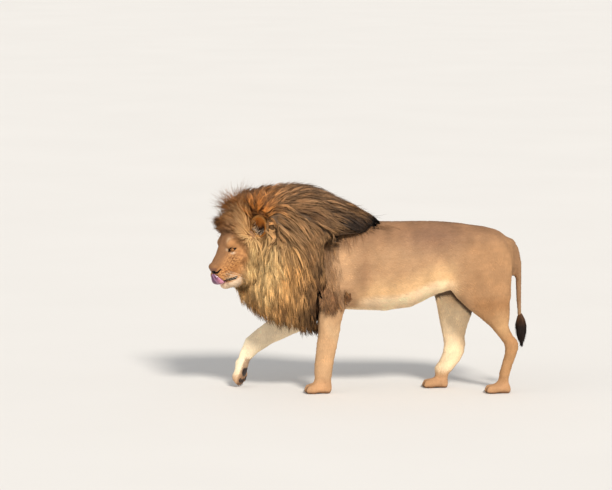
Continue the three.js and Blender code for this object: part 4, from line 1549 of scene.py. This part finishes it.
class LION_OT_ear_hair(bpy.types.Operator):
    """Dark hairs in the cup, a short pale rim, and a black back"""

    bl_idname = "lion.ear_hair"
    bl_label = "Ear hair"

    def execute(self, context):
        rng = np.random.default_rng(71)
        material = hair_material("ear hair", 260.0, 0.6, 0.5)
        for side, name in SIDES:
            shell = bpy.data.objects[f"ear_{name}_shell"]
            surface, unwrap = Surface(shell.data), Unwrap(shell, 1500)
            place = ear_frame(side)
            axes = np.array(place)[:3, :3]
            areas = ear_hair_areas(into(place, surface.points) * 1000)
            parts = []
            for kind, (count, length, lie, rise, root, tip, width) in EAR_HAIR.items():
                starts, out = surface.scatter(count, rng, areas[kind].astype(float) + 1e-9)
                # the rim's hairs stand away from the middle of the ear
                way = np.broadcast_to(lie, starts.shape) if lie else unit(into(place, starts) * (1, 0, 1))
                way = along_surface(way @ axes.T + rng.normal(0, 0.2, starts.shape), out) + out * 0.15
                lengths = length * rng.uniform(0.6, 1.2, count)
                path = arcs(starts - out * 0.002, out, unit(way), lengths, np.full(count, rise), 4)
                s = np.linspace(0, 1, 5)
                shape = (1 - s**1.8) * np.minimum(1, 0.6 + 2 * s)
                side_way = out[:, None] + rng.normal(0, 0.15, (count, 1, 3))
                widths = width * rng.uniform(0.6, 1.3, (count, 1)) * shape
                verts, faces = blades(path, side_way, widths, 0.42)
                tones = hair_tones(verts, linear(*root), linear(*tip), rng)
                parts.append((verts, tones, unwrap.places(starts), out[:, None]))
            verts, tones, roots, out = (np.concatenate(column) for column in zip(*parts))
            hair = hair_object(f"ear_{name}_hair", verts, faces, tones, roots, out, 0.6)
            finish_piece(hair, material, "ear")
        return {"FINISHED"}


class LION_OT_whiskers(bpy.types.Operator):
    """Long pale whiskers of the upper lip and a few over each eye"""

    bl_idname = "lion.whiskers"
    bl_label = "Whiskers"

    def execute(self, context):
        rng = np.random.default_rng(57)
        surface, unwrap = skin_roots()
        spots = whisker_spots()
        lip = len(spots)
        ways = [(0.80, 0.45 + 0.1 * rng.random(), -0.25 - 0.08 * row) for row in range(4) for _ in range(4)]
        spots += [(52, 190, 142), (60, 198, 138), (46, 184, 140)]
        ways += [(0.5, -0.1, 0.7), (0.7, 0.1, 0.6), (0.4, -0.2, 0.8)]
        mirror = np.repeat([(1, 1, 1), (-1, 1, 1)], len(spots), axis=0)
        starts, out, _, _ = surface.nearest(out_of(HEAD, np.tile(spots, (2, 1)) * mirror * MM))
        count = len(starts)
        aim = (np.tile(ways, (2, 1)) * mirror) @ np.array(HEAD)[:3, :3].T
        aim = unit(aim + rng.normal(0, 0.10, (count, 3)))
        over_eye = np.tile(np.arange(len(spots)) >= lip, 2)
        length = rng.uniform(0.075, 0.135, count) * (1 - 0.55 * over_eye)
        s = along(5)
        path = starts[:, None] - out[:, None] * 0.002 + aim[:, None] * length[:, None, None] * s
        path = path + np.array((0, 0.02, -0.02)) * s**2
        widths = np.tile(0.0009 * np.array([1, 1, 0.9, 0.7, 0.5, 0.0]), (count, 1))
        verts, faces = blades(path, out[:, None] + 0.2, widths, 0.8)
        tones = hair_tones(verts, linear(206, 188, 160), linear(228, 214, 192), rng)
        hair = hair_object("whiskers", verts, faces, tones, unwrap.places(starts), out[:, None], 0.4)
        finish_piece(hair, hair_material("whisker hair", 260.0, 0.45, 0.3), "coat")
        return {"FINISHED"}


class LION_OT_fringe(bpy.types.Operator):
    """Hair that grows from the head into the mane: hairline, forelock and round the ears"""

    bl_idname = "lion.fringe"
    bl_label = "Fringe"

    def execute(self, context):
        rng = np.random.default_rng(83)
        surface, unwrap = skin_roots()
        hull = cad_copy("mane", "mane_outline")
        outline = Surface(hull.data)
        bpy.data.objects.remove(hull)
        behind = past_hairline(surface.points)
        area = (behind > -8) & (behind < 170) & (surface.points[:, 1] < -0.45)
        area = area & (head_local(surface.points)[:, 2] > -215)
        count = 8600
        starts, out = surface.scatter(count, rng, area * (1.0 + 0.8 * (behind < 70)))
        lie, _, _, root, tip = mane_field(starts + out * 0.06)
        behind = past_hairline(starts)
        crown = ease(50, 110, head_local(starts)[:, 2])
        grown = np.maximum(ease(0, 90, behind), crown * ease(-6, 34, behind))
        radial = unit(starts - out_of(HEAD, np.array((0, 0.350, -0.02))))
        way = along_surface(blend(lie, radial, crown * 0.8) + rng.normal(0, 0.16, lie.shape), out)
        slant = (0.22 + 0.55 * grown + 0.25 * grown * crown)[:, None]
        aim = unit(way * (1 - 0.45 * slant) + (0.5 * out + 0.5 * radial) * slant)
        wanted = (0.026 + (0.100 + 0.070 * crown) * grown) * rng.uniform(0.60, 1.15, count)
        room = np.array([self.room(outline, p, d) for p, d in zip(starts, aim)])
        room = np.maximum(room * rng.uniform(0.80, 1.30, count) + 0.02 * crown, 0.030 + 0.05 * crown)
        length = np.minimum(wanted * (1 + 0.25 * crown), room)
        s = along(5)
        bend = (way - aim) * (0.35 * length * grown)[:, None]
        droop = np.array((0, 0, -0.10)) * (length * (1 - crown))[:, None]
        path = starts[:, None] - out[:, None] * 0.004 + aim[:, None] * length[:, None, None] * s
        path = path + (bend + droop)[:, None] * s**2
        path = path + rng.normal(0, 0.004, (count, 1, 3)) * np.sin(s * 5 + rng.uniform(0, 6, (count, 1, 1))) * s
        keep = clear_of_ears(path)
        path, out, root, tip, starts, grown = (v[keep] for v in (path, out, root, tip, starts, grown))
        count = len(path)
        path = gather(path, starts, 0.35, count // 14, rng)
        side = out[:, None] + rng.normal(0, 0.2, (count, 1, 3))
        shape = np.array([0.8, 1.0, 1.0, 0.8, 0.5, 0.0])
        widths = (0.0024 + 0.0018 * grown[:, None]) * rng.uniform(0.6, 1.3, (count, 1)) * shape
        verts, faces = blades(path, side, widths, 0.42)
        tone = 1.02 * (1 + 0.28 * waves(starts, (0.03, 0.03, 0.08), 44)) * rng.uniform(0.7, 1.2, count)
        tones = self.tones(starts, root * tone[:, None], tip * tone[:, None], s, context.scene.lion_coat)
        roots = unwrap.places(starts)
        hair_pieces("mane_fringe", verts, faces, tones, roots, out, 0.6, bpy.data.materials["mane hair"], "mane")
        return {"FINISHED"}

    def tones(self, starts, root, tip, s, coat):
        """The coat's colour at the hairline turns into the mane's, with shaded roots further back."""
        skin_tone, _ = body_colours(starts, coat)
        mane = ease(10, 60, past_hairline(starts))
        t, light = (per_vertex(ease(*span, s)) for span in ((0.3, 0.95), (0.0, 0.3)))
        near, far = (blend(skin_tone, colour, mane)[:, None] for colour in (root, tip))
        return np.clip((near * (1 - t) + far * t) * (1 - 0.45 * mane[:, None, None] * (1 - light)), 0, 1)

    def room(self, outline, start, aim):
        """Length from a root to the outline of the mane."""
        reach = 0.40
        hit = outline.tree.ray_cast(Vector(start + aim * reach), Vector(-aim), reach)
        return 0.0 if hit[0] is None else reach - hit[3]


def past_hairline(points):
    """Millimetres behind the hairline of the face."""
    p = head_local(points)
    return p[:, 1] - np.interp(p[:, 2], *zip(*HAIRLINE))


def clear_of_ears(paths):
    """True for each hair that doesn't cross an ear or stand in front of its cup."""
    points = paths.reshape(-1, 3)
    free = np.ones(len(points), bool)
    for side in (1, -1):
        q = into(ear_frame(side), points) * 1000
        ahead = np.maximum(0, -q[:, 1])
        rise = q[:, 2] - 0.25 * ahead
        tall = np.where(rise > 0, 80, 62) + 0.10 * ahead
        r = np.hypot(q[:, 0] / (52 + 0.10 * ahead), rise / tall)
        free &= ~((r < 1.0) & (q[:, 1] < 26) & (q[:, 1] > -150))
    return free.reshape(len(paths), -1).all(1)


class LION_OT_tongue(bpy.types.Operator):
    """Tongue curled up over the nose"""

    bl_idname = "lion.tongue"
    bl_label = "Tongue"

    def execute(self, context):
        verts, colours = [], []
        for station in TONGUE:
            for k in range(TONGUE_ROUND):
                place, colour = self.point(station, 2 * math.pi * k / TONGUE_ROUND)
                verts.append(place)
                colours.append(colour)
        rings = np.arange(len(verts)).reshape(-1, TONGUE_ROUND).tolist()
        faces = []
        for ring, following in zip(rings, rings[1:]):
            quads = zip(ring, ring[1:] + ring[:1], following[1:] + following[:1], following)
            faces += list(quads)
        faces += [tuple(rings[0][::-1]), tuple(rings[-1])]
        tongue = new_object("tongue_curled", out_of(HEAD, np.array(verts) * MM).tolist(), faces)
        set_colours(tongue.data, "coat", np.array(colours))
        apply_modifier(tongue, "SUBSURF", levels=1, render_levels=1)
        face_outward(tongue)
        smooth_faces(tongue.data)
        finish_piece(tongue, tongue_material(), "tongue", "tongue")
        return {"FINISHED"}

    def point(self, station, angle):
        """Place in head millimetres and colour at an angle round one station."""
        ahead, up, half, thick, tilt, aside = station
        a, aim = math.radians(tilt), math.radians(TONGUE_AIM)
        forward = np.array((math.sin(aim), -math.cos(aim), 0.0))
        across = np.array((math.cos(aim), math.sin(aim), 0.0))
        out = forward * math.sin(a) - np.array((0, 0, math.cos(a)))
        u, v = math.cos(angle), math.sin(angle)
        middle = math.exp(-((u / 0.16) ** 2))
        raised = v * thick * (1 - 0.35 * u * u) + 2.2 * middle * (v < 0) - 5.0 * u * u * math.sin(a)
        place = np.array((14, 42, up)) + forward * ahead + across * (u * half + aside) + out * raised
        root, corner = ease(-70, -104, up), ease(-0.2, 0.9, u) * ease(-30, -80, up)
        c = laid(np.array(linear(88, 44, 78)), (228, 146, 164), max(0.5 * root, 0.95 * corner))
        c = laid(c, (206, 156, 184), 0.60 * middle * (1 - corner))
        return place, laid(c, (214, 160, 186), 0.65, (abs(u), 0.70, 1.0))


class LION_OT_claws(bpy.types.Operator):
    """Claw tips between the toe hairs"""

    bl_idname = "lion.claws"
    bl_label = "Claws"

    def execute(self, context):
        claws = []
        for leg, (place, (length, width, height)) in PAWS.items():
            for toe in TOES:
                deselect()
                bpy.ops.mesh.primitive_cone_add(vertices=12, radius1=1, radius2=0.05, depth=2)
                claw = context.object
                x, y, s = points_of(claw.data).T
                s = (s + 1) / 2
                x = toe * width * TOE_WIDTH + x * 0.0026
                z = 0.27 * height + y * 0.0046 - 0.010 * s**2 + 0.004 * s
                y = (toe_back(toe) - 0.225) * length + 0.010 - 0.020 * s
                if leg != RAISED:
                    z = np.maximum(z, 0.002)
                place_points(claw.data, out_of(place, np.stack([x, y, z], axis=-1)))
                claws.append(claw)
        whole = join_objects(claws, "claws")
        face_outward(whole)
        bpy.ops.object.shade_smooth_by_angle(angle=math.radians(50))
        finish_piece(whole, horn_material("claw horn", linear(40, 30, 24), linear(92, 74, 58), 0.35), "eye")
        return {"FINISHED"}


class LION_OT_mane(bpy.types.Operator):
    """Under-mane and its bunches of locks"""

    bl_idname = "lion.mane"
    bl_label = "Mane"

    def execute(self, context):
        mane, coat = context.scene.lion_mane, context.scene.lion_coat
        rng = np.random.default_rng(coat.seed)
        hull = mane_hull()
        surface, unwrap = Surface(hull.data), Unwrap(hull, 5000)
        material = hair_material("mane hair", 240.0, 0.52, 0.8)
        self.under_mane(hull, surface, mane, material)
        # no roots on the inner wall that faces head and neck
        open_wall = np.clip(1 - ease(0.0, 0.02, -self.clearance(surface)), 0.0, 1)
        self.locks(surface, unwrap, open_wall, mane, rng, material)
        self.frizz(surface, unwrap, open_wall, rng, material)
        self.wisps(coat, rng, material)
        bpy.data.objects.remove(hull)
        return {"FINISHED"}

    def under_mane(self, hull, surface, mane, material):
        """Body of hair that shows between the locks, darkened as painted shade of the mane's depth."""
        base = linked("under_mane", hull.data.copy())
        points = surface.points
        _, _, depth, root, tip = mane_field(points)
        sink = mane.inset * 0.4 + depth * 0.5 - 0.004 * waves(points, (0.05, 0.05, 0.09), 21)
        sunk = points - surface.normals * sink[:, None]
        place_points(base.data, relax(sunk, edges_of(base.data), 6, 0.5))
        # Painted shade: the under-mane is darkened to two fifths of the mane's colour, for the mane's depth between the
        # locks.
        tone = 0.40 * (1 + 0.2 * waves(points, (0.03, 0.03, 0.12), 22))
        set_colours(base.data, "coat", blend(root, tip, 0.45) * tone[:, None])
        smooth_faces(base.data)
        finish_piece(base, material, "mane", "mane")

    def locks(self, surface, unwrap, open_wall, mane, rng, material):
        """Combed bunches of locks over the whole mane."""
        count = mane.clumps
        wanted = open_wall * ease(0.0, -0.012, mane_edge(surface.points))
        starts, outward = surface.scatter(count, rng, wanted + 1e-9)
        _, length, depth, root, tip = mane_field(starts)
        edge = mane_edge(starts)
        close = ease(-0.10, -0.02, edge) * (starts[:, 2] < 1.0)
        path, outs = comb(surface, starts, outward, length * (1 - 0.35 * close), depth * (1 - 0.5 * close), rng)
        path = gather(path, starts, 0.45, count // 9, rng)
        near = (np.abs(edge) < 0.16) & (starts[:, 1] > -0.45)
        path[near] = lift_off(path[near], Surface(bpy.data.objects["skin"].data), 0.010)
        spread = mane.spread * rng.uniform(0.5, 1.4, count)
        verts, faces, bunch, reach = lock_bunches(path, outs, mane.locks, mane.width, spread, rng)
        broad = 1 + 0.34 * waves(starts, (0.045, 0.045, 0.22), 23)
        tone = np.clip(1.12 * broad * rng.uniform(0.50, 1.35, count), 0.35, 1.7)
        tip = np.where(rng.random(count)[:, None] < 0.26, tip * 0.4, tip)
        colours = lock_tones(verts, bunch, root, tip, rng, reach, tone)
        free = clear_of_ears(verts)
        verts, colours, bunch = verts[free], colours[free], bunch[free]
        places = unwrap.places(starts)[bunch] + rng.normal(0, 0.002, (len(bunch), 2))
        hair_pieces("mane_locks", verts, faces, colours, places, outward[bunch], 0.6, material, "mane")

    def frizz(self, surface, unwrap, open_wall, rng, material):
        """Single hairs that stand out of the mane, most of all along the crest."""

        def crest_and_forelock(p, normals):
            crest = ease(1.02, 1.20, p[:, 2]) * ease(0.0, 0.6, normals[:, 2])
            return crest, ease(-0.76, -0.86, p[:, 1]) * ease(1.00, 1.08, p[:, 2])

        crest, fore = crest_and_forelock(surface.points, surface.normals)
        weight = (0.12 + crest) * open_wall * ease(0.0, -0.02, mane_edge(surface.points)) + 2.0 * fore
        count = 3100
        starts, out = surface.scatter(count, rng, weight + 1e-9)
        lie, _, _, root, tip = mane_field(starts)
        crest, fore = crest_and_forelock(starts, out)
        length = (0.052 + 0.040 * fore) * rng.uniform(0.5, 1.3, count)
        slant = (0.18 + 0.20 * crest + 0.45 * fore) * rng.uniform(0.2, 1.4, count)
        aim = unit(along_surface(lie + rng.normal(0, 0.30, lie.shape), out) + out * slant[:, None])
        path = arcs(starts - out * 0.026, out, aim, length + 0.026, 0.10 * crest, 4)
        s = along(4)
        curl = unit(rng.normal(0, 1, (count, 1, 3)) + lie[:, None] * 0.9) * (0.30 * length)[:, None, None]
        path = path + curl * s**2.2 + np.array((0, 0.010, -0.004)) * s**2
        keep = clear_of_ears(path)
        path, starts, out, tip, root = (v[keep] for v in (path, starts, out, tip, root))
        side = out[:, None] + rng.normal(0, 0.3, (len(path), 1, 3))
        widths = 0.0019 * rng.uniform(0.6, 1.3, (len(path), 1)) * np.array([0.9, 1, 0.8, 0.55, 0])
        verts, faces = blades(path, side, widths, 0.5)
        tones = hair_tones(verts, root * 0.9, tip * 1.05, rng, 0.35)
        hair = hair_object("mane_frizz", verts, faces, tones, unwrap.places(starts), out[:, None], 0.5)
        finish_piece(hair, material, "mane")

    def wisps(self, coat, rng, material):
        """Dark locks over the upper arm and at the elbow; thin hairs that fade out over shoulder and withers."""
        surface, unwrap = skin_roots()
        p, edge = surface.points, mane_edge(surface.points)
        x, z = np.abs(p[:, 0] - MIDDLE), p[:, 2]
        sides = ease(0.05, 0.09, x)
        arm = ease(-0.16, -0.10, edge) * ease(0.012, -0.040, edge) * ease(0.565, 0.63, z) * ease(0.72, 0.65, z) * sides
        thin = ease(-0.04, 0.0, edge) * ease(0.15, 0.0, edge) ** 2 * ease(0.60, 0.68, z) * ease(1.10, 1.06, z)
        elbow = hump(p[:, 1:], (-0.132, 0.640), (0.014, 0.020)) * ease(0.03, 0.08, x)
        parts = []
        for count, weight, length, per, width, spread, raised, dark in (
            (560, arm, 0.105, 6, 0.0036, 0.012, 0.022, 0.80),
            (700, thin * sides * (p[:, 1] < 0.12), 0.130, 2, 0.0020, 0.014, 0.005, 0.30),
            (44, elbow, 0.090, 6, 0.0032, 0.007, 0.030, 1.0),
        ):
            strong = dark > 0.5
            starts, outward = surface.scatter(count, rng, weight + 1e-9)
            fade = ease(0.0, 0.14, mane_edge(starts)) * (not strong)
            reach = length * (1 - 0.4 * fade) * rng.uniform(0.40, 1.20, count)
            path, outs = comb(surface, starts, outward, reach, np.full(count, 0.004), rng)
            if strong:
                path = gather(path, starts, 0.45, count // 8, rng)
            arch = np.sin(along(path.shape[1] - 1) * 2.4)
            path = lift_off(path, surface, 0.003) + outs * raised * arch * rng.uniform(0.3, 1, (count, 1, 1))
            verts, faces, bunch, reach = lock_bunches(path, outs, per, width, np.full(count, spread), rng)
            skin_tone, _ = body_colours(starts, coat)
            depth = dark * (1 - 0.75 * fade) * rng.uniform(0.8 if strong else 0.5, 1.0, count)
            root = laid(skin_tone, (124, 80, 46), 0.8 * depth)
            tip = laid(skin_tone, (60, 38, 22), depth)
            root = laid(root, (190, 136, 84), 0.5 * (rng.random(count) < 0.3))
            colours = lock_tones(verts, bunch, root, tip, rng, reach, rng.uniform(0.75, 1.25, count))
            if not strong:
                # thin hairs keep the coat's own tone at their roots, without the painted root shade of the locks
                colours = colours / (0.50 + 0.50 * ease(0.0, 0.35, np.linspace(0, 0.8, verts.shape[1])))[None, :, None]
            parts.append((verts, np.clip(colours, 0, 1), unwrap.places(starts)[bunch], outward[bunch][:, None]))
        verts, colours, places, out = (np.concatenate(column) for column in zip(*parts))
        finish_piece(hair_object("mane_wisps", verts, faces, colours, places, out, 0.7), material, "mane")

    def clearance(self, surface):
        """Room in front of each point, negative where another wall is close."""
        room = np.ones(len(surface.points))
        for i, (p, n) in enumerate(zip(surface.points, surface.normals)):
            hit = surface.tree.ray_cast(Vector(p + n * 0.004), Vector(n), 0.30)
            if hit[0] is not None:
                room[i] = -1.0
        return room


class LION_OT_tail_tuft(bpy.types.Operator):
    """Dark brush at the end of the tail"""

    bl_idname = "lion.tail_tuft"
    bl_label = "Tail tuft"

    def execute(self, context):
        rng = np.random.default_rng(31)
        hull = cad_copy("tail_tuft", "tuft_form")
        apply_modifier(hull, "REMESH", mode="VOXEL", voxel_size=0.006, adaptivity=0)
        unwrap = Unwrap(hull, 800)
        bpy.data.objects.remove(hull)
        lo, hi = (np.array(v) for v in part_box("tail_tuft"))
        count = 1300
        first = rng.random(count) ** 1.1
        top = np.array(((lo[0] + hi[0]) / 2, (lo[1] + hi[1]) / 2 - 0.004, hi[2] + 0.020))
        end = np.array((top[0], top[1] + 0.010, lo[2]))
        angle = rng.uniform(0, 6.28, count)
        radial = np.stack([np.cos(angle), np.sin(angle), np.zeros(count)], axis=-1)[:, None]
        s = np.linspace(0, 1, 6)
        reach = rng.uniform(0.28, 0.62, count)
        down = np.clip(first[:, None] * 0.6 + reach[:, None] * s, 0, 1.0)
        fat = 0.030 * np.sin(np.clip(down * 1.08, 0, 1) * math.pi) ** 0.7 + 0.006 * (1 - down)
        layer = np.sqrt(rng.random(count))[:, None]
        path = top + (end - top) * down[..., None] + radial * (fat * layer)[..., None]
        path = path + rng.normal(0, 0.0055, (count, 1, 3)) * s[:, None] ** 2
        across = unit(np.cross(tangents(path), radial))
        widths = 0.0040 * rng.uniform(0.6, 1.2, (count, 1)) * np.array([0.7, 1, 0.95, 0.8, 0.5, 0])
        verts, faces = strands(path, across, np.broadcast_to(radial, path.shape), widths, widths * 0.45)
        tone = np.repeat(down, 3, axis=1)[:, : verts.shape[1]]
        c = laid(np.array(linear(96, 66, 44)), (34, 25, 20), 1, (tone, 0.0, 0.45))
        c = c * rng.uniform(0.7, 1.35, (count, 1, 1))
        brush = hair_object("tail_brush", verts, faces, c, unwrap.places(path[:, 0]), radial, 0.6)
        finish_piece(brush, hair_material("brush hair", 260.0, 0.5, 0.7), "dark_hair", "tail_tuft")
        return {"FINISHED"}


class LION_OT_coat(bpy.types.Operator):
    """Short tufts that lie along the body, legs and face"""

    bl_idname = "lion.coat"
    bl_label = "Short coat"

    def execute(self, context):
        coat = context.scene.lion_coat
        rng = np.random.default_rng(coat.seed + 40)
        surface, unwrap = skin_roots()
        count = coat.tufts
        starts, outward = surface.scatter(count, rng, self.density(surface.points, coat))
        lie = along_surface(body_lie(starts) + rng.normal(0, 0.16, starts.shape), outward)
        _, y, z = starts.T
        small = np.maximum(ease(0.16, 0.05, z), face_area(starts))
        length = coat.tuft * (1 - 0.58 * small) * rng.uniform(0.7, 1.25, count)
        under = ease(0.66, 0.58, z) * ease(-0.05, 0.05, y) * ease(0.55, 0.45, y)
        chin = hump(head_local(starts), (0, 80, -170), (50, 60, 34))
        length = length * (1 + 0.7 * under) * (1 + 1.2 * chin)
        lift = (0.0004 + 0.0007 * rng.random(count)) * (1 - 0.5 * small) + 0.0015 * under
        tip, tip_out, _, _ = surface.nearest(starts + lie * length[:, None])
        middle, middle_out, _, _ = surface.nearest((starts + tip) / 2)
        middle = middle + middle_out * (lift * 0.8)[:, None]
        path = np.stack([starts - outward * 0.0012, middle, tip + tip_out * lift[:, None]], axis=1)
        out = np.stack([outward, middle_out, tip_out], axis=1)
        across = unit(np.cross(tangents(path), out))
        widths = (0.0030 * (1 - 0.45 * small) * rng.uniform(0.7, 1.3, count))[:, None] * np.array([0.8, 1.0, 0])
        verts, faces = strands(path, across, out, widths, widths * 0.35)
        colours, _ = body_colours(starts, coat)
        tones = colours[:, None] * rng.uniform(0.91, 1.09, (count, 1, 1))
        tones = tones * np.array([0.98, 0.98, 0.98, 1.0, 1.0, 1.0, 1.06])[:, None]
        material = hair_material("short hair", 200.0, 0.62, 0.35)
        hair_pieces("coat_tufts", verts, faces, tones, unwrap.places(starts), outward, 0.92, material, "coat")
        return {"FINISHED"}

    def density(self, points, coat):
        """Share of tufts by place: dense on the face, none under the mane, on bare skin or round the eyes."""
        hidden = ease(0.0, -0.04, mane_edge(points)) * ease(0.46, 0.54, points[:, 2]) * (points[:, 1] < -0.05)
        _, bare = body_colours(points, coat)
        weight = np.where(face_area(points, 350), 3.0, 1 - hidden) * (1 - np.clip(bare * 1.5, 0, 1))
        return weight * (np.linalg.norm(head_local(points) - EYE, axis=1) >= 26)


class LION_PT_panel(bpy.types.Panel):
    """The lion's pieces in the order in which they are made"""

    bl_label = "Lion"
    bl_space_type = "VIEW_3D"
    bl_region_type = "UI"
    bl_category = "Lion"

    def draw(self, context):
        for operator in OPERATORS:
            self.layout.operator(operator.bl_idname)
        for group in (context.scene.lion_coat, context.scene.lion_mane):
            box = self.layout.box()
            for name in group.__annotations__:
                box.prop(group, name)


OPERATORS = (
    LION_OT_stage,
    LION_OT_skin,
    LION_OT_eyes,
    LION_OT_ears,
    LION_OT_ear_hair,
    LION_OT_whiskers,
    LION_OT_tongue,
    LION_OT_claws,
    LION_OT_mane,
    LION_OT_fringe,
    LION_OT_tail_tuft,
    LION_OT_coat,
)
CLASSES = (LionCoatSettings, LionManeSettings, *OPERATORS, LION_PT_panel)


def register():
    for cls in CLASSES:
        bpy.utils.register_class(cls)
    bpy.types.Scene.lion_coat = PointerProperty(type=LionCoatSettings)
    bpy.types.Scene.lion_mane = PointerProperty(type=LionManeSettings)


def unregister():
    del bpy.types.Scene.lion_mane
    del bpy.types.Scene.lion_coat
    for cls in reversed(CLASSES):
        bpy.utils.unregister_class(cls)


def main():
    register()
    bpy.ops.lion.stage()
    bpy.ops.lion.skin()
    bpy.ops.lion.eyes()
    bpy.ops.lion.ears()
    bpy.ops.lion.ear_hair()
    bpy.ops.lion.whiskers()
    bpy.ops.lion.tongue()
    bpy.ops.lion.claws()
    bpy.ops.lion.mane()
    bpy.ops.lion.fringe()
    bpy.ops.lion.tail_tuft()
    bpy.ops.lion.coat()


if __name__ == "__main__":
    main()
